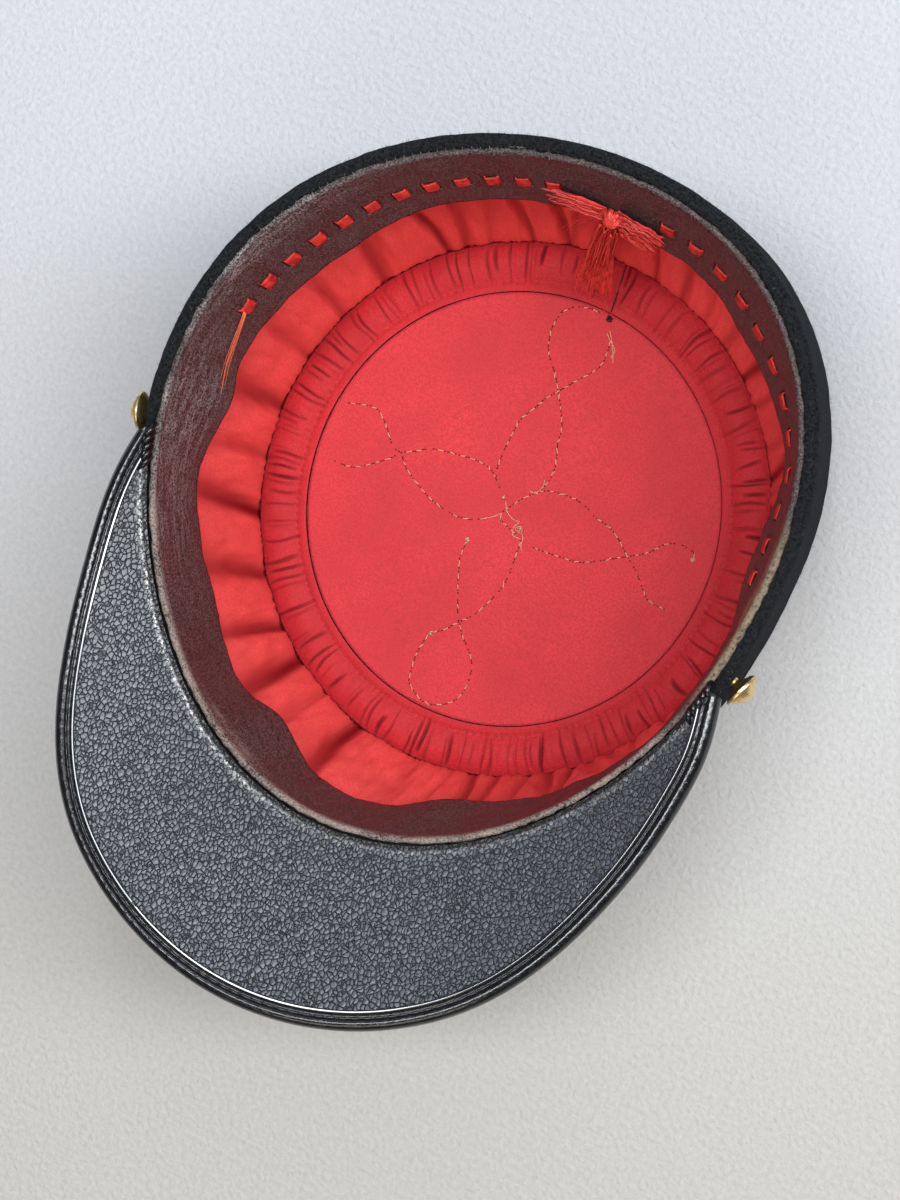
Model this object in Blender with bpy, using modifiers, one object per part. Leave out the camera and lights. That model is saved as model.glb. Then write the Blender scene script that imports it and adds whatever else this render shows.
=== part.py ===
"""A kepi cap that lies upside down on its crown, with its opening up and its peak toward -Y.

It is built as the real cap is sewn. A wool crown, side and band make the body, and the peak,
the sweatband and the lining hang from the rim. A place on the cap is given by an angle round
it, 0 at the front and growing toward +X, and by a depth below the rim. Lengths are in metres.
"""
import math

import bmesh
import bpy
from mathutils import Vector

# Clearance between pieces that are sewn or laid against each other
GAP = 0.0003

# Crown: flat tip, piped edge
CROWN_HALF_WIDTH = 0.0812
CROWN_HALF_LENGTH = 0.0843
TIP_WALL = 0.0024
TIP_EDGE_ROUND = 0.0006
WELT_RADIUS = 0.0018
WELT_LIFT = 0.0004

# Rim: the seam where the sweatband is sewn to the wool
RIM_HALF_WIDTH = 0.0865
RIM_HALF_LENGTH = 0.0948
RIM_HEIGHT = 0.0916
RIM_PITCH = math.radians(5.75)
RIM_REARWARD = 0.0063
RIM_SIDEWAYS = 0.0022
RIM_THREE_LOBES = 0.0016
RIM_TWO_SKEW = -0.0027
RIM_THREE_SKEW = 0.0012
RIM_DENT = 0.0024
RIM_SADDLE = 0.0039
RIM_THREE_RISE = 0.0023

# Wool side and band
SIDE_WALL = 0.0022
UPRIGHT_SHARE = 0.30
LEAN_POWER = 1.7
STEEPEST_WALL = math.radians(30.0)
BAND_HEIGHT = 0.038
BAND_WALL = 0.0025
BAND_SEAM_GAP = 0.0006
FOLD_THICKNESS = 0.0047
FOLD_HEIGHT = 0.0090
FOLD_ROUND = 0.0012
BAND_COLUMNS = 60
SIDE_ROWS = 5
DISC_SIDES = 48

# Peak and its binding
PEAK_LENGTH = 0.0538
PEAK_HALF_ANGLE = math.radians(77.0)
PEAK_DROOP = math.radians(26.0)
PEAK_WALL = 0.0026
PEAK_INNER_EDGE = 0.0016
PEAK_SEAT = 0.0024
PEAK_SEAT_FADE = math.radians(6.0)
PEAK_COLUMNS = 40
BINDING_WIDTH = 0.0040
BINDING_WALL = 0.0008

# Sweatband
SWEATBAND_DEPTH = 0.033
SWEATBAND_WALL = 0.0012
SWEATBAND_LEAN = 0.0136
SLIT_ROW_DEPTH = 0.0158
SLIT_LENGTH = 0.0056
SLIT_ANGLE = math.radians(0.85)
UNDER_DASH_ANGLE = math.radians(2.0)
DASH_PITCH = math.radians(6.2)
DASHES_PER_SIDE = 12
BOW_ANGLE = math.radians(177.0)
BOW_HALF_ANGLE = math.radians(12.0)
FRONT_COLUMNS = 28

# Ribbon and bow
RIBBON_WALL = 0.0004
RIBBON_WIDTH = 0.0050
RIBBON_STEP_ANGLE = math.radians(0.1)
RIBBON_END_ANGLE = math.radians(2.4)
BOW_WALL = 0.0012
BOW_CLEARANCE = 0.0008
BOW_ARM_DEPTH = 0.0225
BOW_ARM_WIDTH = 0.0075
BOW_ARM_START = math.radians(164.5)
BOW_ARM_END = math.radians(189.5)
BOW_TAIL_START = math.radians(174.0)
BOW_TAIL_END = math.radians(182.0)
BOW_TAIL_LENGTH = 0.036
BOW_TAIL_LEAN = 0.016

# Lining
LINING_WALL = 0.0008
LINING_CLEARANCE = 0.0007
LINING_TOP_DEPTH = 0.0125
LINING_FOLD_DEPTH = 0.0034
LINING_FOLDS = 24
LINING_COLUMNS = 64
LINING_ROWS = 4
LINING_TIP_HALF_WIDTH = 0.0625
LINING_TIP_HALF_LENGTH = 0.0650
RING_PUFF = 0.0020
RING_PLEAT_DEPTH = 0.0007
RING_PLEATS = 36

# Side buttons
BUTTON_RADIUS = 0.0054
BUTTON_DOME = 0.0030
BUTTON_RIM = 0.0006
BUTTON_BACK = 0.0010
SHANK_RADIUS = 0.0014
SHANK_LENGTH = 0.0013
BUTTON_ANGLE = math.radians(80.0)
BUTTON_DEPTH = 0.0068
BUTTON_TILT = math.radians(10.0)
BUTTON_STEPS = 14

# The peak's width round its base: share of its half angle, share of its length
PEAK_OUTLINE = (
    (-0.30, 0.872),
    (0.00, 0.990),
    (0.30, 0.872),
    (0.60, 0.535),
    (0.86, 0.248),
    (1.00, 0.082),
)

# Soft dents and swellings of the rim: degrees round the cap, spread, share of the dent
RIM_DENTS = (
    (94, 24, -1.00),
    (146, 20, 0.60),
    (290, 20, 0.20),
)

# Soft swellings of the peak's edge: degrees from its middle, spread, metres out
PEAK_SWELLS = ((-57, 13, -0.0019), (-32, 14, 0.0009), (69, 7, 0.0010))

# How far the sweatband's free edge leans in: degrees round the cap, share of the lean
SWEATBAND_WAVE = (
    (0, 0.18), (8, 0.32), (18, 0.61), (28, 0.44), (40, 0.30), (58, 0.22), (75, 0.33),
    (85, 0.42), (96, 0.67), (105, 0.70), (117, 0.58), (128, 0.79), (141, 1.00), (156, 0.92),
    (170, 0.90), (191, 0.75), (205, 0.69), (220, 0.68), (238, 0.80), (256, 0.66), (268, 0.52),
    (276, 0.62), (289, 0.20), (300, 0.20), (313, 0.31), (322, 0.20), (330, 0.23), (340, 0.54),
    (351, 0.22), (360, 0.18),
)

# The button's dome: share of the button's radius, share of the dome's height
DOME_PROFILE = ((0.00, 1.00), (0.45, 0.90), (0.80, 0.52), (0.93, 0.10))


def clear_scene():
    for item in list(bpy.data.objects):
        bpy.data.objects.remove(item, do_unlink=True)


def material(name, colour, roughness, metallic=0.0):
    made = bpy.data.materials.new(name)
    made.use_nodes = True
    shader = made.node_tree.nodes["Principled BSDF"]
    shader.inputs["Base Color"].default_value = (*colour, 1.0)
    shader.inputs["Roughness"].default_value = roughness
    shader.inputs["Metallic"].default_value = metallic
    return made


def add_object(name, data, surface, collection):
    made = bpy.data.objects.new(name, data)
    data.materials.append(surface)
    collection.objects.link(made)
    return made


def curve_through(table, place):
    """Smooth value at a place in a table of (place, value) rows that rise in place."""
    last = len(table) - 1
    row = 0
    while row < last - 1 and place > table[row + 1][0]:
        row += 1
    before = table[max(row - 1, 0)]
    start = table[row]
    end = table[row + 1]
    after = table[min(row + 2, last)]
    span = end[0] - start[0]
    start_slope = (end[1] - before[1]) / (end[0] - before[0]) * span
    end_slope = (after[1] - start[1]) / (after[0] - start[0]) * span
    share = min(max((place - start[0]) / span, 0.0), 1.0)
    square = share * share
    cube = square * share
    return (
        (2 * cube - 3 * square + 1) * start[1]
        + (cube - 2 * square + share) * start_slope
        + (3 * square - 2 * cube) * end[1]
        + (cube - square) * end_slope
    )


def smooth_step(share):
    share = min(max(share, 0.0), 1.0)
    return share * share * (3.0 - 2.0 * share)


def round_angles(columns):
    return [2.0 * math.pi * column / columns for column in range(columns)]


def signed_angle(angle):
    return (angle + math.pi) % (2.0 * math.pi) - math.pi


def rim_point(angle, out=0.0):
    """Point level with the rim's seam, out from it by a distance."""
    grow = out + RIM_THREE_LOBES * math.cos(3 * angle)
    grow += RIM_TWO_SKEW * math.sin(2 * angle) + RIM_THREE_SKEW * math.sin(3 * angle)
    for middle, spread, share in RIM_DENTS:
        away = math.degrees(signed_angle(angle - math.radians(middle))) / spread
        grow += RIM_DENT * share * math.exp(-away * away)
    across = (RIM_HALF_WIDTH + grow) * math.sin(angle)
    along = -(RIM_HALF_LENGTH + grow) * math.cos(angle)
    rise = RIM_SADDLE * math.cos(2 * angle) + RIM_THREE_RISE * math.cos(3 * angle)
    centre = Vector((RIM_SIDEWAYS, RIM_REARWARD, RIM_HEIGHT))
    rearward = Vector((0.0, math.cos(RIM_PITCH), math.sin(RIM_PITCH)))
    return centre + Vector((across, 0.0, 0.0)) + along * rearward + rise * rim_normal()


def rim_normal():
    return Vector((0.0, -math.sin(RIM_PITCH), math.cos(RIM_PITCH)))


def rim_outward(angle):
    """Direction out of the rim's curve, in the rim's plane."""
    step = 0.001
    along = (rim_point(angle + step) - rim_point(angle - step)).normalized()
    return along.cross(rim_normal()).normalized()


def crown_point(angle, inset, height):
    across = (CROWN_HALF_WIDTH - inset) * math.sin(angle)
    along = -(CROWN_HALF_LENGTH - inset) * math.cos(angle)
    return Vector((across, along, height))


def foot_height():
    return WELT_LIFT + 2 * WELT_RADIUS + GAP


def wall_height(angle):
    return rim_point(angle).z - foot_height()


def wall_point(angle, depth, inset):
    """Point of the body's wall at a depth below the rim, inset from its outer face."""
    top = rim_point(angle, FOLD_THICKNESS - inset)
    foot = crown_point(angle, inset, foot_height())
    share = depth / wall_height(angle)
    curved = max(share - UPRIGHT_SHARE, 0.0) / (1.0 - UPRIGHT_SHARE)
    place = top.lerp(foot, curved ** LEAN_POWER)
    place.z = rim_point(angle).z - depth
    return place


def shell(name, rows, thickness, surface, collection, closed=True, holes=(), side=-1.0):
    """A wall from rows of points that run round the cap, thickened inward or to both sides."""
    columns = len(rows[0])
    points = [point for row in rows for point in row]
    faces = []
    for row in range(len(rows) - 1):
        for column in range(columns if closed else columns - 1):
            if (row, column) in holes:
                continue
            after = (column + 1) % columns
            upper = row * columns
            lower = upper + columns
            faces.append((upper + column, lower + column, lower + after, upper + after))
    mesh = bpy.data.meshes.new(name)
    mesh.from_pydata(points, [], faces)
    mesh.shade_smooth()
    made = add_object(name, mesh, surface, collection)
    solidify = made.modifiers.new("Wall", "SOLIDIFY")
    solidify.thickness = thickness
    solidify.offset = side
    return made


def loft(name, sections, surface, collection, closed):
    """A body through closed sections that are alike in count but not in shape."""
    count = len(sections[0])
    body = bmesh.new()
    loops = [[body.verts.new(point) for point in section] for section in sections]
    pairs = list(zip(loops, loops[1:]))
    if closed:
        pairs.append((loops[-1], loops[0]))
    else:
        body.faces.new(loops[0])
        body.faces.new(loops[-1])
    for first, second in pairs:
        for corner in range(count):
            after = (corner + 1) % count
            body.faces.new((first[corner], first[after], second[after], second[corner]))
    bmesh.ops.recalc_face_normals(body, faces=body.faces)
    mesh = bpy.data.meshes.new(name)
    body.to_mesh(mesh)
    body.free()
    mesh.shade_smooth()
    mesh.set_sharp_from_angle(angle=math.radians(40.0))
    return add_object(name, mesh, surface, collection)


def disc(name, half_width, half_length, bottom, thickness, edge_round, surface, collection):
    body = bmesh.new()
    bmesh.ops.create_cone(
        body, cap_ends=True, segments=DISC_SIDES, radius1=1.0, radius2=1.0, depth=thickness)
    bmesh.ops.scale(body, vec=(half_width, half_length, 1.0), verts=body.verts)
    bmesh.ops.translate(body, vec=(0.0, 0.0, bottom + thickness / 2), verts=body.verts)
    mesh = bpy.data.meshes.new(name)
    body.to_mesh(mesh)
    body.free()
    made = add_object(name, mesh, surface, collection)
    if edge_round:
        bevel = made.modifiers.new("Edge", "BEVEL")
        bevel.width = edge_round
        bevel.segments = 1
        bevel.limit_method = "ANGLE"
    return made


def crown_tip(surface, collection):
    inset = 2 * WELT_RADIUS + GAP
    disc("crown_tip", CROWN_HALF_WIDTH - inset, CROWN_HALF_LENGTH - inset, 0.0, TIP_WALL,
         TIP_EDGE_ROUND, surface, collection)


def crown_welt(surface, collection):
    curve = bpy.data.curves.new("crown_welt", "CURVE")
    curve.dimensions = "3D"
    curve.bevel_depth = WELT_RADIUS
    curve.bevel_resolution = 1
    spline = curve.splines.new("POLY")
    spline.points.add(BAND_COLUMNS - 1)
    for point, angle in zip(spline.points, round_angles(BAND_COLUMNS)):
        place = crown_point(angle, WELT_RADIUS, WELT_LIFT + WELT_RADIUS)
        point.co = (*place, 1.0)
    spline.use_cyclic_u = True
    add_object("crown_welt", curve, surface, collection)


def crown_side(surface, collection):
    rows = []
    for row in range(SIDE_ROWS + 1):
        share = row / SIDE_ROWS
        line = []
        for angle in round_angles(BAND_COLUMNS):
            start = BAND_HEIGHT + BAND_SEAM_GAP
            depth = start + (wall_height(angle) - start) * share
            line.append(wall_point(angle, depth, 0.0))
        rows.append(line)
    shell("crown_side", rows, SIDE_WALL, surface, collection)


def peak_seat(angle):
    """How far the band's rim drops to make room for the peak."""
    past_end = abs(signed_angle(angle)) - PEAK_HALF_ANGLE
    return PEAK_SEAT * (1.0 - smooth_step(past_end / PEAK_SEAT_FADE))


def base_band(surface, collection):
    sections = []
    inner_fold = FOLD_THICKNESS - GAP
    for angle in round_angles(BAND_COLUMNS):
        seat = peak_seat(angle)
        outline = (
            (0.0, BAND_HEIGHT),
            (0.0, seat + FOLD_ROUND),
            (FOLD_THICKNESS * 0.20, seat),
            (FOLD_THICKNESS * 0.50, seat - FOLD_ROUND),
            (FOLD_THICKNESS * 0.78, seat - FOLD_ROUND / 2),
            (inner_fold, seat + FOLD_ROUND),
            (inner_fold, seat + FOLD_HEIGHT),
            (BAND_WALL, seat + FOLD_HEIGHT + FOLD_ROUND),
            (BAND_WALL, BAND_HEIGHT),
        )
        sections.append([wall_point(angle, depth, inset) for inset, depth in outline])
    loft("base_band", sections, surface, collection, closed=True)


def peak_width(angle):
    share = min(abs(angle) / PEAK_HALF_ANGLE, 1.0)
    width = PEAK_LENGTH * curve_through(PEAK_OUTLINE, share)
    for middle, spread, swell in PEAK_SWELLS:
        away = (math.degrees(angle) - middle) / spread
        width += swell * math.exp(-away * away)
    return width


def peak_slope(angle):
    return (math.cos(PEAK_DROOP) * rim_outward(angle)
            + math.sin(PEAK_DROOP) * rim_normal())


def peak_lift(angle):
    return (math.cos(PEAK_DROOP) * rim_normal()
            - math.sin(PEAK_DROOP) * rim_outward(angle))


def peak_angles():
    return [PEAK_HALF_ANGLE * (2.0 * column / PEAK_COLUMNS - 1.0)
            for column in range(PEAK_COLUMNS + 1)]


def peak(surface, collection):
    rows = []
    for share in (1.0, 0.8, 0.5, 0.2, 0.0):
        line = []
        for angle in peak_angles():
            reach = PEAK_INNER_EDGE + (peak_width(angle) - PEAK_INNER_EDGE) * share
            middle = rim_point(angle) + reach * peak_slope(angle)
            line.append(middle - PEAK_WALL / 2 * peak_lift(angle))
        rows.append(line)
    shell("peak", rows, PEAK_WALL, surface, collection, closed=False)


def peak_edge(angle):
    return rim_point(angle) + peak_width(angle) * peak_slope(angle)


def peak_binding(surface, collection):
    step = 0.004
    cavity = PEAK_WALL / 2 + GAP
    outer = cavity + BINDING_WALL
    nose = GAP + BINDING_WALL
    sections = []
    for angle in peak_angles():
        before = peak_edge(max(angle - step, -PEAK_HALF_ANGLE))
        after = peak_edge(min(angle + step, PEAK_HALF_ANGLE))
        lift = peak_lift(angle)
        outward = (after - before).cross(lift).normalized()
        leg = min(BINDING_WIDTH, 0.85 * (peak_width(angle) - PEAK_INNER_EDGE))
        outline = (
            (-leg, outer),
            (nose * 0.4, outer),
            (nose, 0.0),
            (nose * 0.4, -outer),
            (-leg, -outer),
            (-leg, -cavity),
            (GAP, -cavity),
            (GAP, cavity),
            (-leg, cavity),
        )
        edge = peak_edge(angle)
        sections.append([edge + reach * outward + rise * lift for reach, rise in outline])
    loft("peak_binding", sections, surface, collection, closed=False)


def sweatband_lean(angle):
    degrees = math.degrees(angle) % 360.0
    return SWEATBAND_LEAN * curve_through(SWEATBAND_WAVE, degrees) - SWEATBAND_WALL


def sweatband_point(angle, depth, off=0.0):
    """Point of the sweatband's wool-side face, moved square off it toward the head."""
    lean = sweatband_lean(angle) * depth / SWEATBAND_DEPTH
    tilt = math.atan2(sweatband_lean(angle), SWEATBAND_DEPTH)
    place = rim_point(angle, -lean - off * math.cos(tilt))
    place.z = rim_point(angle).z - depth + off * math.sin(tilt)
    return place


def dash_angles(side):
    """Middle of each ribbon dash on one side, from the bow outward."""
    return [BOW_ANGLE + side * (BOW_HALF_ANGLE + DASH_PITCH * dash)
            for dash in range(DASHES_PER_SIDE)]


def sweatband_columns():
    """Angles of the sweatband's columns, and which of the columns are slits."""
    edges = []
    for middle in sorted(dash_angles(-1) + dash_angles(1)):
        near = UNDER_DASH_ANGLE / 2
        far = near + SLIT_ANGLE
        edges.append((middle - far, True))
        edges.append((middle - near, False))
        edges.append((middle + near, True))
        edges.append((middle + far, False))
    bow_columns = 4
    bow_start = BOW_ANGLE - BOW_HALF_ANGLE + UNDER_DASH_ANGLE / 2 + SLIT_ANGLE
    bow_span = 2 * (BOW_ANGLE - bow_start)
    for column in range(1, bow_columns):
        edges.append((bow_start + bow_span * column / bow_columns, False))
    edges.sort()
    front_start = edges[-1][0]
    front_span = edges[0][0] + 2 * math.pi - front_start
    for column in range(1, FRONT_COLUMNS):
        edges.append((front_start + front_span * column / FRONT_COLUMNS, False))
    return edges


def sweatband(surface, collection):
    columns = sweatband_columns()
    slit_end = SLIT_ROW_DEPTH + SLIT_LENGTH
    depths = (0.0, SLIT_ROW_DEPTH * 0.5, SLIT_ROW_DEPTH, slit_end, SWEATBAND_DEPTH)
    rows = [[sweatband_point(angle, depth) for angle, _ in columns] for depth in depths]
    slit_row = depths.index(SLIT_ROW_DEPTH)
    holes = {(slit_row, column) for column, (_, slit) in enumerate(columns) if slit}
    shell("sweatband", rows, SWEATBAND_WALL, surface, collection, holes=holes)


def ribbon(name, side, surface, collection):
    """Ribbon that passes over the leather at each dash and behind it between dashes."""
    reach = UNDER_DASH_ANGLE / 2 + SLIT_ANGLE / 2
    over = SWEATBAND_WALL + GAP + RIBBON_WALL / 2
    behind = -GAP - RIBBON_WALL / 2
    path = []
    for middle in sorted(dash_angles(side)):
        path.append((middle - reach - RIBBON_STEP_ANGLE, behind))
        path.append((middle - reach + RIBBON_STEP_ANGLE, over))
        path.append((middle + reach - RIBBON_STEP_ANGLE, over))
        path.append((middle + reach + RIBBON_STEP_ANGLE, behind))
    path.insert(0, (path[0][0] - RIBBON_END_ANGLE, behind))
    path.append((path[-1][0] + RIBBON_END_ANGLE, behind))
    top = SLIT_ROW_DEPTH + (SLIT_LENGTH - RIBBON_WIDTH) / 2
    rows = [[sweatband_point(angle, depth, off) for angle, off in path]
            for depth in (top, top + RIBBON_WIDTH)]
    shell(name, rows, RIBBON_WALL, surface, collection, closed=False, side=0.0)


def bow_point(angle, depth):
    """Point of the bow's cloth, which lies on the sweatband and hangs free below it."""
    off = SWEATBAND_WALL + BOW_CLEARANCE
    hang = max(depth - SWEATBAND_DEPTH, 0.0)
    place = sweatband_point(angle, min(depth, SWEATBAND_DEPTH), off)
    if hang:
        lean = BOW_TAIL_LEAN * (hang / BOW_TAIL_LENGTH) ** 1.5
        place += lean * -rim_outward(angle)
        place.z -= hang
    return place


def ribbon_bow(surface, collection):
    angles = [BOW_ARM_START, BOW_TAIL_START, (BOW_TAIL_START + BOW_TAIL_END) / 2,
              BOW_TAIL_END, (BOW_TAIL_END + BOW_ARM_END) / 2, BOW_ARM_END]
    arm_bottom = BOW_ARM_DEPTH + BOW_ARM_WIDTH
    tail_rows = 5
    depths = [BOW_ARM_DEPTH, arm_bottom]
    for row in range(1, tail_rows + 1):
        depths.append(arm_bottom + BOW_TAIL_LENGTH * row / tail_rows)
    tail_columns = (1, 2)
    holes = {(row, column) for row in range(1, len(depths) - 1)
             for column in range(len(angles) - 1) if column not in tail_columns}
    rows = [[bow_point(angle, depth) for angle in angles] for depth in depths]
    shell("ribbon_bow", rows, BOW_WALL, surface, collection, closed=False, holes=holes)


def lining_inset():
    """Distance of the lining's back from the wool's outer face, past the steepest wall."""
    return SIDE_WALL / math.cos(STEEPEST_WALL) + LINING_CLEARANCE


def fold_wave(angle):
    """Uneven folds of the side lining, from 0 in a valley to 1 on a crest."""
    main = math.sin(LINING_FOLDS * angle)
    wide = math.sin((LINING_FOLDS // 3) * angle + 1.0)
    return 0.5 + 0.35 * main + 0.15 * wide


def lining_floor():
    return TIP_WALL + GAP


def lining_side(surface, collection):
    rows = []
    for row in range(LINING_ROWS + 1):
        share = row / LINING_ROWS
        line = []
        for angle in round_angles(LINING_COLUMNS):
            bottom = wall_height(angle)
            depth = LINING_TOP_DEPTH + (bottom - LINING_TOP_DEPTH) * share
            loose = smooth_step((depth - SWEATBAND_DEPTH) / (bottom - SWEATBAND_DEPTH))
            fold = LINING_FOLD_DEPTH * fold_wave(angle) * math.sin(math.pi * loose) ** 0.7
            line.append(wall_point(angle, depth, lining_inset() + fold))
        rows.append(line)
    shell("lining_side", rows, LINING_WALL, surface, collection)


def lining_ring(surface, collection):
    rows = []
    columns = 2 * RING_PLEATS
    seam_inset = lining_inset() + LINING_WALL / math.cos(STEEPEST_WALL) + GAP
    for share, puff in ((0.0, 0.5), (0.4, 1.0), (1.0, 0.0)):
        line = []
        for column, angle in enumerate(round_angles(columns)):
            outer = crown_point(angle, seam_inset, 0.0)
            inner = Vector((LINING_TIP_HALF_WIDTH * math.sin(angle),
                            -LINING_TIP_HALF_LENGTH * math.cos(angle), 0.0))
            place = outer.lerp(inner, share)
            pleat = RING_PLEAT_DEPTH * (column % 2)
            place.z = lining_floor() + (RING_PUFF + pleat) * puff
            line.append(place)
        rows.append(line)
    shell("lining_ring", rows, LINING_WALL, surface, collection)


def lining_tip(surface, collection):
    disc("lining_tip", LINING_TIP_HALF_WIDTH - GAP, LINING_TIP_HALF_LENGTH - GAP,
         lining_floor(), LINING_WALL, 0.0, surface, collection)


def button_profile():
    profile = []
    for reach, rise in DOME_PROFILE:
        profile.append((BUTTON_RADIUS * reach, BUTTON_RIM + BUTTON_DOME * rise))
    profile.append((BUTTON_RADIUS, BUTTON_RIM))
    profile.append((BUTTON_RADIUS, 0.0))
    profile.append((BUTTON_RADIUS * 0.75, -BUTTON_BACK))
    profile.append((SHANK_RADIUS, -BUTTON_BACK))
    profile.append((SHANK_RADIUS, -BUTTON_BACK - SHANK_LENGTH))
    profile.append((0.0, -BUTTON_BACK - SHANK_LENGTH))
    return profile


def side_button(name, side, surface, collection):
    profile = button_profile()
    mesh = bpy.data.meshes.new(name)
    points = [(reach, 0.0, rise) for reach, rise in profile]
    edges = [(index, index + 1) for index in range(len(points) - 1)]
    mesh.from_pydata(points, edges, [])
    made = add_object(name, mesh, surface, collection)
    screw = made.modifiers.new("Turn", "SCREW")
    screw.steps = BUTTON_STEPS
    screw.render_steps = BUTTON_STEPS
    screw.use_merge_vertices = True
    screw.merge_threshold = 0.00001
    angle = side * BUTTON_ANGLE
    outward = rim_outward(angle)
    outward.z = 0.0
    outward.normalize()
    rearward = Vector((0.0, 0.0, 1.0)).cross(outward) * side
    axis = outward * math.cos(BUTTON_TILT) - rearward * math.sin(BUTTON_TILT)
    seat = wall_point(angle, BUTTON_DEPTH, 0.0)
    stand_off = BUTTON_BACK + SHANK_LENGTH + GAP + SHANK_RADIUS * math.sin(BUTTON_TILT)
    made.rotation_euler = axis.to_track_quat("Z", "Y").to_euler()
    made.location = seat + axis * stand_off


def build():
    clear_scene()
    parts = bpy.data.collections.new("kepi_cap")
    bpy.context.scene.collection.children.link(parts)
    crown_tip(material("tip wool", (0.016, 0.017, 0.024), 0.95), parts)
    crown_welt(material("welt wool", (0.014, 0.015, 0.021), 0.95), parts)
    crown_side(material("side wool", (0.016, 0.017, 0.024), 0.95), parts)
    base_band(material("band wool", (0.015, 0.016, 0.022), 0.95), parts)
    peak(material("peak leather", (0.020, 0.018, 0.017), 0.45), parts)
    peak_binding(material("binding leather", (0.010, 0.009, 0.009), 0.18), parts)
    sweatband(material("sweatband leather", (0.060, 0.036, 0.024), 0.55), parts)
    ribbon("ribbon_left", 1, material("left ribbon", (0.52, 0.05, 0.03), 0.5), parts)
    ribbon("ribbon_right", -1, material("right ribbon", (0.52, 0.05, 0.03), 0.5), parts)
    ribbon_bow(material("bow ribbon", (0.48, 0.05, 0.03), 0.5), parts)
    lining_side(material("side lining", (0.36, 0.02, 0.022), 0.55), parts)
    lining_ring(material("ring lining", (0.36, 0.02, 0.022), 0.55), parts)
    lining_tip(material("tip lining", (0.38, 0.02, 0.022), 0.55), parts)
    side_button("side_button_left", -1, material("left button gilt", (0.72, 0.55, 0.28), 0.3, 1.0), parts)
    side_button("side_button_right", 1, material("right button gilt", (0.72, 0.55, 0.28), 0.3, 1.0), parts)


build()
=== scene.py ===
"""Looks of the kepi cap: its cloth, leather, ribbon, stitches and gilt, with floor, light and camera.

A place on the cap is given by an angle round it, 0 at the front and growing toward +X, and by a
depth below the rim. Lengths are in metres. The shape functions repeat those of the CAD source.
"""
import math
import random

import bmesh
import bpy
from mathutils import Matrix, Vector, noise

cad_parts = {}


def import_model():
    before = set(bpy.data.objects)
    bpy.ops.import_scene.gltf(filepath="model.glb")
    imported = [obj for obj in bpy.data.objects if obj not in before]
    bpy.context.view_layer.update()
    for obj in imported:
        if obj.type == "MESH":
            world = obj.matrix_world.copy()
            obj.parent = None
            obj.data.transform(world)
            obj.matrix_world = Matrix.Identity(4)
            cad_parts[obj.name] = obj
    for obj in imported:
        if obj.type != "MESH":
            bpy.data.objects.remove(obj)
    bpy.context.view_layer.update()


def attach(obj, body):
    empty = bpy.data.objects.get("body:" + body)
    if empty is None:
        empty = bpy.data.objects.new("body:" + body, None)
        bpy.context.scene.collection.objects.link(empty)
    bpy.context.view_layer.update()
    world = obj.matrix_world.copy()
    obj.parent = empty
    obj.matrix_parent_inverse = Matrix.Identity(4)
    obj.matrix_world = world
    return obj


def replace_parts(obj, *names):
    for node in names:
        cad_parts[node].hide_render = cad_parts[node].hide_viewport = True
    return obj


MM = 0.001
TURN = 2.0 * math.pi
UP = Vector((0.0, 0.0, 1.0))
LEATHER_WALL = 0.7 * MM

# Shape of the cap, as in the CAD source
GAP = 0.0003
CROWN_HALF_WIDTH = 0.0812
CROWN_HALF_LENGTH = 0.0843
TIP_WALL = 0.0024
WELT_RADIUS = 0.0018
WELT_LIFT = 0.0004
RIM_HALF_WIDTH = 0.0865
RIM_HALF_LENGTH = 0.0948
RIM_HEIGHT = 0.0916
RIM_PITCH = math.radians(5.75)
RIM_REARWARD = 0.0063
RIM_SIDEWAYS = 0.0022
RIM_THREE_LOBES = 0.0016
RIM_TWO_SKEW = -0.0027
RIM_THREE_SKEW = 0.0012
RIM_DENT = 0.0024
RIM_SADDLE = 0.0039
RIM_THREE_RISE = 0.0023
SIDE_WALL = 0.0022
UPRIGHT_SHARE = 0.30
LEAN_POWER = 1.7
STEEPEST_WALL = math.radians(30.0)
BAND_HEIGHT = 0.038
BAND_WALL = 0.0025
BAND_SEAM_GAP = 0.0006
FOLD_THICKNESS = 0.0047
FOLD_HEIGHT = 0.0090
FOLD_ROUND = 0.0012
PEAK_LENGTH = 0.0538
PEAK_HALF_ANGLE = math.radians(77.0)
PEAK_DROOP = math.radians(26.0)
PEAK_WALL = 0.0026
PEAK_INNER_EDGE = 0.0016
PEAK_SEAT = 0.0024
PEAK_SEAT_FADE = math.radians(6.0)
BINDING_WIDTH = 0.0040
BINDING_WALL = 0.0008
SWEATBAND_DEPTH = 0.033
SWEATBAND_WALL = 0.0012
SWEATBAND_LEAN = 0.0136
SLIT_ROW_DEPTH = 0.0158
SLIT_LENGTH = 0.0056
SLIT_ANGLE = math.radians(0.85)
UNDER_DASH_ANGLE = math.radians(2.0)
DASH_PITCH = math.radians(6.2)
DASHES_PER_SIDE = 12
BOW_ANGLE = math.radians(177.0)
BOW_HALF_ANGLE = math.radians(12.0)
RIBBON_WALL = 0.0004
RIBBON_WIDTH = 0.0050
RIBBON_END_ANGLE = math.radians(2.4)
BOW_CLEARANCE = 0.0008
BOW_TAIL_LENGTH = 0.036
BOW_TAIL_LEAN = 0.016
LINING_WALL = 0.0008
LINING_CLEARANCE = 0.0007
LINING_TOP_DEPTH = 0.0125
LINING_TIP_HALF_WIDTH = 0.0625
LINING_TIP_HALF_LENGTH = 0.0650
RING_PUFF = 0.0020
BUTTON_RADIUS = 0.0054
BUTTON_DOME = 0.0030
BUTTON_RIM = 0.0006
BUTTON_BACK = 0.0010
SHANK_RADIUS = 0.0014
SHANK_LENGTH = 0.0013
SHANK_SUNK = 0.0012
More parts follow.
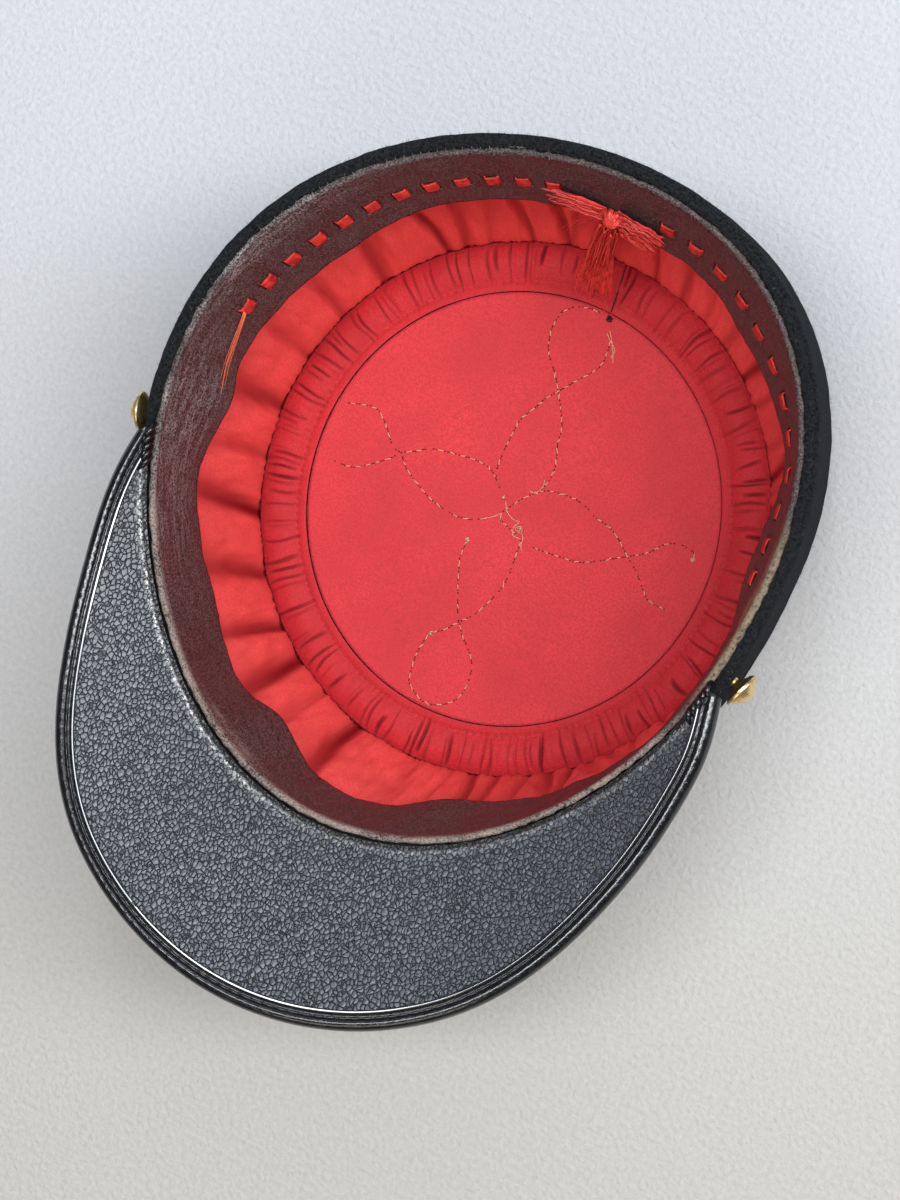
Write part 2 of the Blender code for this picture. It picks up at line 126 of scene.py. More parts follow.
BUTTON_ANGLE = math.radians(80.0)
BUTTON_DEPTH = 0.0068
BUTTON_TILT = math.radians(10.0)
PEAK_OUTLINE = ((-0.30, 0.872), (0.00, 0.990), (0.30, 0.872), (0.60, 0.535), (0.86, 0.248),
                (1.00, 0.082))
PEAK_SWELLS = ((-57, 13, -0.0019), (-32, 14, 0.0009), (69, 7, 0.0010))
BINDING_NOSE = GAP + BINDING_WALL
BINDING_CAVITY = PEAK_WALL / 2 + GAP
BINDING_OUTER = PEAK_WALL / 2 + GAP + BINDING_WALL
RIM_DENTS = ((94, 24, -1.00), (146, 20, 0.60), (290, 20, 0.20))
SWEATBAND_WAVE = (
    (0, 0.18), (8, 0.32), (18, 0.61), (28, 0.44), (40, 0.30), (58, 0.22), (75, 0.33),
    (85, 0.42), (96, 0.67), (105, 0.70), (117, 0.58), (128, 0.79), (141, 1.00), (156, 0.92),
    (170, 0.90), (191, 0.75), (205, 0.69), (220, 0.68), (238, 0.80), (256, 0.66), (268, 0.52),
    (276, 0.62), (289, 0.20), (300, 0.20), (313, 0.31), (322, 0.20), (330, 0.23), (340, 0.54),
    (351, 0.22), (360, 0.18),
)

# Fine shapes of the looks
FELT_DEPTH = 0.00022
WALL_SAG = 0.0006
RIM_GROOVE = 0.0009
RIM_GROOVE_INSET = 0.0013
RIM_GROOVE_SPREAD = 0.0005
RIM_ROLL_POWER = 0.8
HAIR_COUNT = 9000
WORN_RIDGE = 0.0019
RIDGE_SPREAD = 0.0008
RIDGE_HEIGHT = 0.00055
PEAK_WAVES = 0.00045
PEAK_ROUGHNESS = 0.00010
STITCH_GROOVE_SHARE = 0.46
BEAD_RADIUS = 0.00046
BEAD_SIDES = 44
BEAD_COLUMNS = 420
BEAD_FLAT_SHARE = 0.88
STRIP_END_DEGREES = -14.0
BINDING_STITCHES = 116
ROLL_RADIUS = 1.0 * MM
ROLL_TURN = math.radians(150.0)
ROLL_STEPS = 8
WHIP_PITCH = math.radians(1.60)
BOW_CLOTH_WALL = 0.25 * MM
SATIN_WALL = 0.0005
RING_WALL = 0.0004
RING_SEAM_SHARE = 0.03
RING_STITCH_SHARE = 0.80
RING_SEW_SPREAD = 0.035
RING_SEW_DEPTH = 0.0003
RING_STITCH_PITCH = math.radians(1.9)

# Camera, at the photograph's viewing angle
CAMERA_AZIMUTH = math.radians(115.78)
CAMERA_ELEVATION = math.radians(77.33)
CAMERA_ROLL = math.radians(268.74)
CAMERA_DISTANCE = 0.7794
CAMERA_TARGET = Vector((0.0, 0.0, 0.060))
CAMERA_LENS = 84.54
CAMERA_SHIFT = (-0.0159, -0.0749)
CAMERA_SENSOR = 36.0
PHOTO_WIDTH = 900
PHOTO_HEIGHT = 1200

# Lights, placed by their distance right and up in the picture's sense and their height
LIGHT_TARGET = Vector((0.0, 0.0, 0.05))
TUBE_SPOT = (0.46, 0.12, 1.50)
STRIP_SPOT = (0.20, 0.38, 1.50)
TUBE_HALF_STEPS = 45
STRIP_HALF_STEPS = 37
LIGHT_STEP = 0.02
COOL_LIGHT = (0.88, 0.93, 1.0)
# Name, place, width and length, power in watts, and colour of each
LIGHTS = (
    ("tube", TUBE_SPOT, (1.90, 0.30), 30.5, (0.96, 0.98, 1.0)),
    ("strip", STRIP_SPOT, (0.08, 1.50), 5.0, COOL_LIGHT),
    ("window", (1.20, 0.30, 1.25), (0.90, 0.90), 5.2, COOL_LIGHT),
    ("sky", (-0.10, 1.90, 1.60), (1.20, 1.00), 3.2, COOL_LIGHT),
    ("room", (-0.10, -1.30, 1.40), (1.20, 0.80), 9.2, (1.0, 0.88, 0.76)),
)
SKY_COLOUR = (0.88, 0.92, 1.0, 1.0)
SKY_STRENGTH = 0.15
FLOOR_HALF_SIZE = 3.0
# Ends of the floor's painted light: warm shade toward the picture's foot, cool light toward its top.
FLOOR_WARM_SHADE = (0.445, 0.432, 0.400)
FLOOR_COOL_LIGHT = (0.520, 0.530, 0.565)


# Shape functions, as in the CAD source

def curve_through(table, place):
    """Smooth value at a place in a table of (place, value) rows that rise in place."""
    last = len(table) - 1
    row = 0
    while row < last - 1 and place > table[row + 1][0]:
        row += 1
    before = table[max(row - 1, 0)]
    start = table[row]
    end = table[row + 1]
    after = table[min(row + 2, last)]
    span = end[0] - start[0]
    start_slope = (end[1] - before[1]) / (end[0] - before[0]) * span
    end_slope = (after[1] - start[1]) / (after[0] - start[0]) * span
    share = min(max((place - start[0]) / span, 0.0), 1.0)
    square = share * share
    cube = square * share
    return (
        (2 * cube - 3 * square + 1) * start[1]
        + (cube - 2 * square + share) * start_slope
        + (3 * square - 2 * cube) * end[1]
        + (cube - square) * end_slope
    )


def smooth_step(share):
    share = min(max(share, 0.0), 1.0)
    return share * share * (3.0 - 2.0 * share)


def signed_angle(angle):
    return (angle + math.pi) % TURN - math.pi


def round_angles(columns):
    return [TURN * column / columns for column in range(columns)]


def rim_point(angle, out=0.0):
    """Point level with the rim's seam, out from it by a distance."""
    grow = out + RIM_THREE_LOBES * math.cos(3 * angle)
    grow += RIM_TWO_SKEW * math.sin(2 * angle) + RIM_THREE_SKEW * math.sin(3 * angle)
    for middle, spread, share in RIM_DENTS:
        away = math.degrees(signed_angle(angle - math.radians(middle))) / spread
        grow += RIM_DENT * share * math.exp(-away * away)
    across = (RIM_HALF_WIDTH + grow) * math.sin(angle)
    along = -(RIM_HALF_LENGTH + grow) * math.cos(angle)
    rise = RIM_SADDLE * math.cos(2 * angle) + RIM_THREE_RISE * math.cos(3 * angle)
    centre = Vector((RIM_SIDEWAYS, RIM_REARWARD, RIM_HEIGHT))
    rearward = Vector((0.0, math.cos(RIM_PITCH), math.sin(RIM_PITCH)))
    return centre + Vector((across, 0.0, 0.0)) + along * rearward + rise * rim_normal()


def rim_normal():
    return Vector((0.0, -math.sin(RIM_PITCH), math.cos(RIM_PITCH)))


def rim_outward(angle):
    step = 0.001
    along = (rim_point(angle + step) - rim_point(angle - step)).normalized()
    return along.cross(rim_normal()).normalized()


def crown_point(angle, inset, height):
    across = (CROWN_HALF_WIDTH - inset) * math.sin(angle)
    along = -(CROWN_HALF_LENGTH - inset) * math.cos(angle)
    return Vector((across, along, height))


def foot_height():
    return WELT_LIFT + 2 * WELT_RADIUS + GAP


def wall_height(angle):
    return rim_point(angle).z - foot_height()


def wall_point(angle, depth, inset):
    """Point of the body's wall at a depth below the rim, inset from its outer face."""
    top = rim_point(angle, FOLD_THICKNESS - inset)
    foot = crown_point(angle, inset, foot_height())
    share = depth / wall_height(angle)
    curved = max(share - UPRIGHT_SHARE, 0.0) / (1.0 - UPRIGHT_SHARE)
    place = top.lerp(foot, curved ** LEAN_POWER)
    place.z = rim_point(angle).z - depth
    return place


def peak_seat(angle):
    past_end = abs(signed_angle(angle)) - PEAK_HALF_ANGLE
    return PEAK_SEAT * (1.0 - smooth_step(past_end / PEAK_SEAT_FADE))


def peak_width(angle):
    share = min(abs(angle) / PEAK_HALF_ANGLE, 1.0)
    width = PEAK_LENGTH * curve_through(PEAK_OUTLINE, share)
    for middle, spread, swell in PEAK_SWELLS:
        away = (math.degrees(angle) - middle) / spread
        width += swell * math.exp(-away * away)
    return width


def peak_slope(angle):
    return math.cos(PEAK_DROOP) * rim_outward(angle) + math.sin(PEAK_DROOP) * rim_normal()


def peak_lift(angle):
    return math.cos(PEAK_DROOP) * rim_normal() - math.sin(PEAK_DROOP) * rim_outward(angle)


def peak_edge(angle):
    return rim_point(angle) + peak_width(angle) * peak_slope(angle)


def sweatband_lean(angle):
    degrees = math.degrees(angle) % 360.0
    return SWEATBAND_LEAN * curve_through(SWEATBAND_WAVE, degrees) - SWEATBAND_WALL


def sweatband_point(angle, depth, off=0.0):
    """Point of the sweatband's wool-side face, moved square off it toward the head."""
    lean = sweatband_lean(angle) * depth / SWEATBAND_DEPTH
    tilt = math.atan2(sweatband_lean(angle), SWEATBAND_DEPTH)
    place = rim_point(angle, -lean - off * math.cos(tilt))
    place.z = rim_point(angle).z - depth + off * math.sin(tilt)
    return place


def dash_angles(side):
    return [BOW_ANGLE + side * (BOW_HALF_ANGLE + DASH_PITCH * dash)
            for dash in range(DASHES_PER_SIDE)]


def bow_point(angle, depth, off=0.0):
    """Point of the bow's cloth, which lies on the sweatband and hangs free below it."""
    off = off + SWEATBAND_WALL + BOW_CLEARANCE
    hang = max(depth - SWEATBAND_DEPTH, 0.0)
    place = sweatband_point(angle, min(depth, SWEATBAND_DEPTH), off)
    if hang:
        lean = BOW_TAIL_LEAN * (hang / BOW_TAIL_LENGTH) ** 1.5
        place += lean * -rim_outward(angle)
        place.z -= hang
    return place


def lining_inset():
    return SIDE_WALL / math.cos(STEEPEST_WALL) + LINING_CLEARANCE


def lining_floor():
    return TIP_WALL + GAP


def ring_noise(angle, scale, seed):
    """Smooth noise round the cap, without a jump where the circle closes."""
    return noise.noise(Vector((math.cos(angle) * scale, math.sin(angle) * scale, seed)))


def bell(distance, spread):
    return math.exp(-(distance / spread) ** 2)


def bell_round(angle, middle, spread):
    """Bell over the angle round the cap, its middle and spread in degrees."""
    return bell(signed_angle(angle - math.radians(middle)), math.radians(spread))


# Camera

def camera_axes():
    """Directions across, up and back of the camera."""
    flat = math.cos(CAMERA_ELEVATION)
    back = Vector((math.sin(CAMERA_AZIMUTH) * flat, -math.cos(CAMERA_AZIMUTH) * flat,
                   math.sin(CAMERA_ELEVATION)))
    right = (-back).cross(Vector((0.0, 0.0, 1.0))).normalized()
    up = right.cross(-back)
    across = right * math.cos(CAMERA_ROLL) + up * math.sin(CAMERA_ROLL)
    above = -right * math.sin(CAMERA_ROLL) + up * math.cos(CAMERA_ROLL)
    return across, above, back


def seen_at_height(spot, height):
    """Point at a height over the floor that shows at a spot (x, y) of the photograph."""
    across, above, back = camera_axes()
    focal = CAMERA_LENS / CAMERA_SENSOR * PHOTO_HEIGHT
    x = (spot[0] - PHOTO_WIDTH / 2 + CAMERA_SHIFT[0] * PHOTO_HEIGHT) / focal
    y = (PHOTO_HEIGHT / 2 - spot[1] + CAMERA_SHIFT[1] * PHOTO_HEIGHT) / focal
    start = CAMERA_TARGET + CAMERA_DISTANCE * back
    ray = x * across + y * above - back
    return start + ray * ((height - start.z) / ray.z)


# Meshes

def add_piece(name, mesh, surface):
    made = bpy.data.objects.new(name, mesh)
    mesh.materials.append(surface)
    bpy.context.scene.collection.objects.link(made)
    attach(made, "root")
    return made


def grid_mesh(name, rows, closed, inward, holes=(), uvs=None, marks=None):
    """A sheet through rows of points. Its face looks out of the cap, or into it with inward."""
    columns = len(rows[0])
    points = [point for row in rows for point in row]
    faces = []
    corners = []
    for row in range(len(rows) - 1):
        for column in range(columns if closed else columns - 1):
            if (row, column) in holes:
                continue
            after = (column + 1) % columns
            next_column = column + 1
            upper = row * columns
            lower = upper + columns
            face = [upper + column, lower + column, lower + after, upper + after]
            corner = [(row, column), (row + 1, column), (row + 1, next_column), (row, next_column)]
            if inward:
                face.reverse()
                corner.reverse()
            faces.append(face)
            corners.extend(corner)
    mesh = bpy.data.meshes.new(name)
    mesh.from_pydata(points, [], faces)
    if uvs:
        layer = mesh.uv_layers.new(name="cloth")
        for loop, (row, column) in zip(layer.data, corners):
            loop.uv = uvs(row, column)
    for mark, values in (marks or {}).items():
        attribute = mesh.attributes.new(mark, "FLOAT", "POINT")
        attribute.data.foreach_set("value", values)
    mesh.shade_smooth()
    return mesh


def solid_mesh(name, body):
    """Turns a closed bmesh body into a smooth mesh that faces outward."""
    bmesh.ops.recalc_face_normals(body, faces=body.faces)
    mesh = bpy.data.meshes.new(name)
    body.to_mesh(mesh)
    body.free()
    mesh.shade_smooth()
    return mesh


def thicken(piece, wall):
    solidify = piece.modifiers.new("Wall", "SOLIDIFY")
    solidify.thickness = wall
    solidify.offset = -1.0
    return piece


def loft_mesh(name, sections, closed):
    """A body through closed sections that are alike in count but not in shape."""
    count = len(sections[0])
    body = bmesh.new()
    loops = [[body.verts.new(point) for point in section] for section in sections]
    pairs = list(zip(loops, loops[1:]))
    if closed:
        pairs.append((loops[-1], loops[0]))
    else:
        body.faces.new(loops[0])
        body.faces.new(loops[-1])
    for first, second in pairs:
        for corner in range(count):
            after = (corner + 1) % count
            body.faces.new((first[corner], first[after], second[after], second[corner]))
    return solid_mesh(name, body)


def tubes_mesh(name, paths, sides=5):
    """Closed tubes along paths. Each path is a list of (point, radius)."""
    points = []
    faces = []
    for path in paths:
        start = len(points)
        aside = None
        for index, (place, radius) in enumerate(path):
            before = path[max(index - 1, 0)][0]
            after = path[min(index + 1, len(path) - 1)][0]
            along = (after - before).normalized()
            if aside is None:
                aside = along.orthogonal().normalized()
            aside = (aside - along * aside.dot(along)).normalized()
            other = along.cross(aside)
            for side in range(sides):
                turn = TURN * side / sides
                points.append(place + radius * (math.cos(turn) * aside + math.sin(turn) * other))
        for ring in range(len(path) - 1):
            low = start + ring * sides
            for side in range(sides):
                after = (side + 1) % sides
                faces.append((low + side, low + after, low + sides + after, low + sides + side))
        faces.append([start + side for side in reversed(range(sides))])
        top = start + (len(path) - 1) * sides
        faces.append([top + side for side in range(sides)])
    mesh = bpy.data.meshes.new(name)
    mesh.from_pydata(points, [], faces)
    mesh.shade_smooth()
    return mesh


def add_tubes(name, paths, surface, sides=5):
    return add_piece(name, tubes_mesh(name, paths, sides), surface)


def stitch_path(start, end, lift, thickness):
    """One stitch that rises out of the cloth at its start and goes back in at its end."""
    path = []
    steps = 5
    for step in range(steps + 1):
        share = step / steps
        place = start.lerp(end, share) + lift * math.sin(math.pi * share) ** 0.6
        radius = thickness * (0.55 + 0.45 * math.sin(math.pi * share))
        path.append((place, radius))
    return path


def smooth_path(points, steps):
    """Points on a smooth curve through a list of points."""
    path = []
    last = len(points) - 1
    for index in range(last):
        first = points[max(index - 1, 0)]
        second = points[index]
        third = points[index + 1]
        fourth = points[min(index + 2, last)]
        for step in range(steps):
            share = step / steps
            square = share * share
            cube = square * share
            path.append(0.5 * (2 * second + share * (third - first)
                               + square * (2 * first - 5 * second + 4 * third - fourth)
                               + cube * (3 * second - first - 3 * third + fourth)))
    path.append(points[last])
    return path


# Materials

def scaled(colour, factor):
    return tuple(min(1.0, value * factor) for value in colour)


class Paint:
    """One procedural material, made of nodes step by step."""

    def __init__(self, name, colour, roughness, **sockets):
        self.material = bpy.data.materials.new(name)
        self.material.use_nodes = True
        self.tree = self.material.node_tree
        self.shader = self.tree.nodes["Principled BSDF"]
        self.set("Base Color", (*colour, 1.0))
        self.set("Roughness", roughness)
        for socket, value in sockets.items():
            self.set(socket.replace("_", " "), value)

    def set(self, socket, value):
        self.shader.inputs[socket].default_value = value

    def link(self, output, socket):
        self.tree.links.new(output, self.shader.inputs[socket])

    def node(self, kind):
        return self.tree.nodes.new(kind)

    def wire(self, value, socket):
        """Puts a number, a colour or another node's output into a socket."""
        if isinstance(value, bpy.types.NodeSocket):
            self.tree.links.new(value, socket)
        elif isinstance(value, tuple) and len(value) == 3 and socket.type == "RGBA":
            socket.default_value = (*value, 1.0)
        else:
            socket.default_value = value

    def where(self, stretch=(1.0, 1.0, 1.0), turn=0.0, cloth=False):
        """Place on the surface, in metres, in the object's space or along the cloth."""
        if cloth:
            source = self.node("ShaderNodeUVMap")
            source.uv_map = "cloth"
            output = source.outputs["UV"]
        else:
            source = self.node("ShaderNodeTexCoord")
            output = source.outputs["Object"]
        mapping = self.node("ShaderNodeMapping")
        mapping.inputs["Scale"].default_value = stretch
        mapping.inputs["Rotation"].default_value = (0.0, 0.0, turn)
        self.tree.links.new(output, mapping.inputs["Vector"])
        return mapping.outputs["Vector"]

    def noise(self, place, scale, detail=3.0, rough=0.55, distortion=0.0):
        made = self.node("ShaderNodeTexNoise")
        self.wire(place, made.inputs["Vector"])
        made.inputs["Scale"].default_value = scale
        made.inputs["Detail"].default_value = detail
        made.inputs["Roughness"].default_value = rough
        made.inputs["Distortion"].default_value = distortion
        return made.outputs["Fac"]

    def cells(self, place, scale, feature="DISTANCE_TO_EDGE"):
        made = self.node("ShaderNodeTexVoronoi")
        made.feature = feature
        self.wire(place, made.inputs["Vector"])
        made.inputs["Scale"].default_value = scale
        return made.outputs["Distance"]

    def wave(self, place, scale, direction, distortion=0.0):
        made = self.node("ShaderNodeTexWave")
        made.bands_direction = direction
        self.wire(place, made.inputs["Vector"])
        made.inputs["Scale"].default_value = scale
        made.inputs["Distortion"].default_value = distortion
        return made.outputs["Fac"]

    def ramp(self, factor, low, high, start=0.0, end=1.0):
        """Maps a factor from start..end to low..high, held at both ends."""
        made = self.node("ShaderNodeMapRange")
        self.wire(factor, made.inputs["Value"])
        made.inputs["From Min"].default_value = low
        made.inputs["From Max"].default_value = high
        made.inputs["To Min"].default_value = start
        made.inputs["To Max"].default_value = end
        return made.outputs["Result"]

    def math(self, kind, first, second):
        made = self.node("ShaderNodeMath")
        made.operation = kind
        self.wire(first, made.inputs[0])
        self.wire(second, made.inputs[1])
        return made.outputs["Value"]

    def blend(self, factor, first, second):
        made = self.node("ShaderNodeMix")
        made.data_type = "RGBA"
        self.wire(factor, made.inputs["Factor"])
        self.wire(first, made.inputs[6])
        self.wire(second, made.inputs[7])
        return made.outputs[2]

    def mark(self, name):
        made = self.node("ShaderNodeAttribute")
        made.attribute_name = name
        return made.outputs["Fac"]

    def bump(self, height, depth, strength=1.0, after=None):
        made = self.node("ShaderNodeBump")
        self.wire(height, made.inputs["Height"])
        made.inputs["Distance"].default_value = depth
        made.inputs["Strength"].default_value = strength
        if after is not None:
            self.tree.links.new(after, made.inputs["Normal"])
        return made.outputs["Normal"]


def wool_paint(name, light=1.0, sheen=0.12):
    """Matt felt with fuzz and pale lint. The light factor scales its two tones: below 1 it paints
    shade, above 1 it paints light.
    """
    paint = Paint(name, (0.012, 0.013, 0.018), 0.95, Sheen_Weight=sheen, Sheen_Roughness=0.5,
                  Sheen_Tint=(0.45, 0.50, 0.60, 1.0), Specular_IOR_Level=sheen)
    place = paint.where()
    fuzz = paint.noise(place, 1300.0, detail=5.0, rough=0.75)
    lumps = paint.noise(place, 260.0, detail=3.0)
    dark = scaled((0.0035, 0.0038, 0.0045), light)
    pale = scaled((0.032, 0.035, 0.037), light)
    colour = paint.blend(paint.ramp(fuzz, 0.40, 0.72), dark, pale)
    lint = paint.ramp(paint.noise(place, 900.0, detail=2.0), 0.72, 0.76)
    paint.link(paint.blend(lint, colour, (0.10, 0.095, 0.09)), "Base Color")
    coarse = paint.bump(lumps, 0.0010, 0.5)
    paint.link(paint.bump(fuzz, 0.0009, 1.0, coarse), "Normal")
    return paint.material


def peak_paint():
    """Pebbled leather: broad tops parted by thin creases. The creases are painted near black as
    painted shade, and the tops are flecked pale blue as painted sheen. Two marks: "worn" flecks a
    rubbed ridge pale, and "gap" paints shade along the strip beside the rim's seam.
    """
    paint = Paint("peak underside leather", (0.03, 0.033, 0.036), 0.48, Specular_IOR_Level=0.80,
                  Coat_Weight=0.25, Coat_Roughness=0.32)
    place = paint.where()
    bent = paint.where((1.0, 0.62, 1.0), math.radians(27.0))
    warp = paint.noise(place, 420.0, detail=2.0)
    shifted = paint.node("ShaderNodeVectorMath")
    shifted.operation = "MULTIPLY_ADD"
    paint.wire(warp, shifted.inputs[0])
    shifted.inputs[1].default_value = (0.0013, 0.0013, 0.0013)
    paint.wire(bent, shifted.inputs[2])
    cells = paint.cells(shifted.outputs["Vector"], 900.0)
    domes = paint.cells(shifted.outputs["Vector"], 900.0, "F1")
    fine = paint.noise(place, 2600.0, detail=3.0, rough=0.65)
    wide = paint.noise(place, 60.0, detail=2.0)
    pebble = paint.ramp(cells, 0.01, 0.12)
    dome = paint.ramp(domes, 0.0, 0.70, 0.5, 0.0)
    body = paint.blend(paint.ramp(wide, 0.35, 0.65), (0.021, 0.025, 0.033), (0.030, 0.034, 0.044))
    # Painted sheen: pale blue flecks over the pebble tops.
    top = paint.blend(paint.ramp(fine, 0.42, 0.66), body, (0.074, 0.085, 0.110))
    # Painted shade: the creases between the pebbles are near black.
    colour = paint.blend(pebble, (0.0015, 0.002, 0.0025), top)
    flecks = paint.ramp(paint.noise(place, 1150.0, detail=4.0, rough=0.8), 0.48, 0.54)
    worn = paint.math("MULTIPLY", paint.mark("worn"), flecks)
    colour = paint.blend(worn, colour, (0.78, 0.79, 0.80))
    # Painted shade: the "gap" mark turns the strip beside the rim's seam near black.
    paint.link(paint.blend(paint.mark("gap"), colour, (0.002, 0.002, 0.002)), "Base Color")
    paint.link(paint.ramp(fine, 0.3, 0.7, 0.38, 0.54), "Roughness")
    height = paint.math("ADD", pebble, dome)
    grain = paint.bump(height, 0.00022, 1.0)
    normal = paint.bump(fine, 0.00005, 0.5, grain)
    paint.link(normal, "Normal")
    paint.link(normal, "Coat Normal")
    return paint.material


def patent_paint():
    """Glossy black leather with a soft waviness and fine cracks."""
    paint = Paint("patent binding leather", (0.006, 0.006, 0.008), 0.18, Coat_Weight=0.35,
                  Coat_Roughness=0.08, Specular_IOR_Level=0.4)
    place = paint.where()
    soft = paint.noise(place, 420.0, detail=3.0)
    crack = paint.ramp(paint.cells(place, 520.0), 0.0, 0.05)
    paint.link(paint.ramp(soft, 0.3, 0.7, 0.12, 0.28), "Roughness")
    paint.link(paint.blend(paint.ramp(soft, 0.45, 0.75), (0.004, 0.004, 0.005),
                           (0.010, 0.011, 0.014)), "Base Color")
    wavy = paint.bump(soft, 0.00022, 0.6)
    paint.link(paint.bump(crack, 0.00006, 0.4, wavy), "Normal")
    return paint.material


def sweatband_paint():
    """Dark speckled leather with three marks: grey dust, a taupe rim of wear along the rolled top
    edge that is partly a painted highlight, and a gold rim of wear.
    """
    paint = Paint("sweatband leather", (0.05, 0.03, 0.02), 0.5, Specular_IOR_Level=0.38)
    place = paint.where()
    along = paint.where((0.22, 1.0, 1.0), cloth=True)
    streak = paint.noise(along, 520.0, detail=4.0, rough=0.6, distortion=0.6)
    blotch = paint.noise(place, 95.0, detail=5.0, rough=0.65)
    fine = paint.noise(place, 1900.0, detail=3.0, rough=0.65)
    pores = paint.ramp(paint.cells(place, 1500.0), 0.0, 0.22)
    base = paint.blend(paint.ramp(blotch, 0.36, 0.66), (0.008, 0.005, 0.005), (0.032, 0.020, 0.019))
    speckle = paint.ramp(fine, 0.44, 0.70)
    base = paint.blend(paint.math("MULTIPLY", speckle, 0.9), base, (0.190, 0.128, 0.122))
    base = paint.blend(paint.ramp(streak, 0.50, 0.72, 0.0, 0.40), base, (0.090, 0.070, 0.066))
    dust = paint.math("MULTIPLY", paint.ramp(streak, 0.38, 0.62), paint.ramp(fine, 0.42, 0.60))
    base = paint.blend(paint.math("MULTIPLY", paint.mark("grey"), dust), base, (0.42, 0.40, 0.39))
    rim = paint.math("ADD", paint.math("MULTIPLY", blotch, 0.8), fine)
    # Taupe rim: wear, and partly a painted highlight along the top of the roll.
    taupe_wear_and_highlight = paint.math("MULTIPLY", paint.mark("taupe_wear_and_highlight"), paint.ramp(rim, 0.72, 1.05))
    base = paint.blend(taupe_wear_and_highlight, base, (0.30, 0.235, 0.20))
    specks = paint.ramp(paint.noise(place, 900.0, detail=4.0, rough=0.75), 0.36, 0.54)
    gold = paint.math("MULTIPLY", paint.mark("gold"), specks)
    paint.link(paint.blend(gold, base, (0.235, 0.178, 0.112)), "Base Color")
    paint.link(paint.ramp(blotch, 0.3, 0.7, 0.36, 0.60), "Roughness")
    grain = paint.bump(pores, 0.00010, 0.7)
    rough = paint.bump(fine, 0.00022, 0.9, grain)
    paint.link(paint.bump(streak, 0.00016, 0.5, rough), "Normal")
    return paint.material


def ribbon_paint(name, base):
    """Silk ribbon with its weave, a little uneven in tone."""
    paint = Paint(name, base, 0.50, Specular_IOR_Level=0.35)
    across = paint.wave(paint.where(cloth=True), 620.0, "X")
    along = paint.wave(paint.where(cloth=True), 620.0, "Y")
    weave = paint.math("MAXIMUM", across, along)
    tone = paint.noise(paint.where(), 450.0, detail=3.0)
    bright = scaled(base, 1.35)
    dark = scaled(base, 0.5)
    colour = paint.blend(paint.ramp(tone, 0.35, 0.65), dark, bright)
    paint.link(paint.blend(paint.ramp(weave, 0.5, 1.0, 0.35, 0.0), colour, dark), "Base Color")
    paint.link(paint.bump(weave, 0.00012, 0.6), "Normal")
    return paint.material


def lining_paint(name, base, shade, roughness, weave_depth):
    """Red lining cloth. Its base colour turns to a painted shade colour where its mark of fold
    hollows and creases is high.
    """
    paint = Paint(name, base, roughness, Specular_IOR_Level=0.3)
    cloth = paint.where(cloth=True)
    weave = paint.math("ADD", paint.wave(cloth, 430.0, "X"), paint.wave(cloth, 430.0, "Y"))
    place = paint.where()
    tone = paint.noise(place, 38.0, detail=4.0, rough=0.6)
    grain = paint.noise(place, 1500.0, detail=2.0, rough=0.7)
    slub = paint.noise(paint.where((1.0, 0.05, 1.0), cloth=True), 1500.0, detail=2.0)
    dark = scaled(base, 0.88)
    bright = scaled(base, 1.10)
    colour = paint.blend(paint.ramp(tone, 0.35, 0.65), dark, bright)
    colour = paint.blend(paint.ramp(grain, 0.40, 0.62, 0.0, 0.8), colour, scaled(base, 0.72))
    colour = paint.blend(paint.ramp(slub, 0.48, 0.70, 0.0, 0.55), colour, dark)
    # Painted shade: this mark darkens the cloth in the hollows of folds and creases.
    mark = paint.mark("valley_shade")
    middle = tuple(0.48 * value + 0.52 * other for value, other in zip(base, shade))
    colour = paint.blend(paint.ramp(mark, 0.0, 0.45), colour, middle)
    paint.link(paint.blend(paint.ramp(mark, 0.40, 0.95), colour, shade), "Base Color")
    fine = paint.bump(weave, weave_depth, 0.5)
    paint.link(paint.bump(slub, 0.00005, 0.5, fine), "Normal")
    return paint.material


def thread_paint(name, colour, roughness=0.7):
    paint = Paint(name, colour, roughness)
    twist = paint.noise(paint.where(), 2600.0, detail=2.0)
    dark = scaled(colour, 0.55)
    paint.link(paint.blend(paint.ramp(twist, 0.35, 0.65), dark, colour), "Base Color")
    paint.link(paint.bump(twist, 0.0001, 0.6), "Normal")
    return paint.material


def gilt_paint():
    paint = Paint("gilt brass", (0.78, 0.56, 0.24), 0.24, Metallic=1.0)
    place = paint.where()
    wear = paint.noise(place, 520.0, detail=4.0, rough=0.65)
    paint.link(paint.blend(paint.ramp(wear, 0.48, 0.72), (0.88, 0.66, 0.32), (0.42, 0.29, 0.13)),
               "Base Color")
    paint.link(paint.ramp(wear, 0.35, 0.75, 0.26, 0.50), "Roughness")
    paint.link(paint.bump(wear, 0.00010, 0.6), "Normal")
    return paint.material


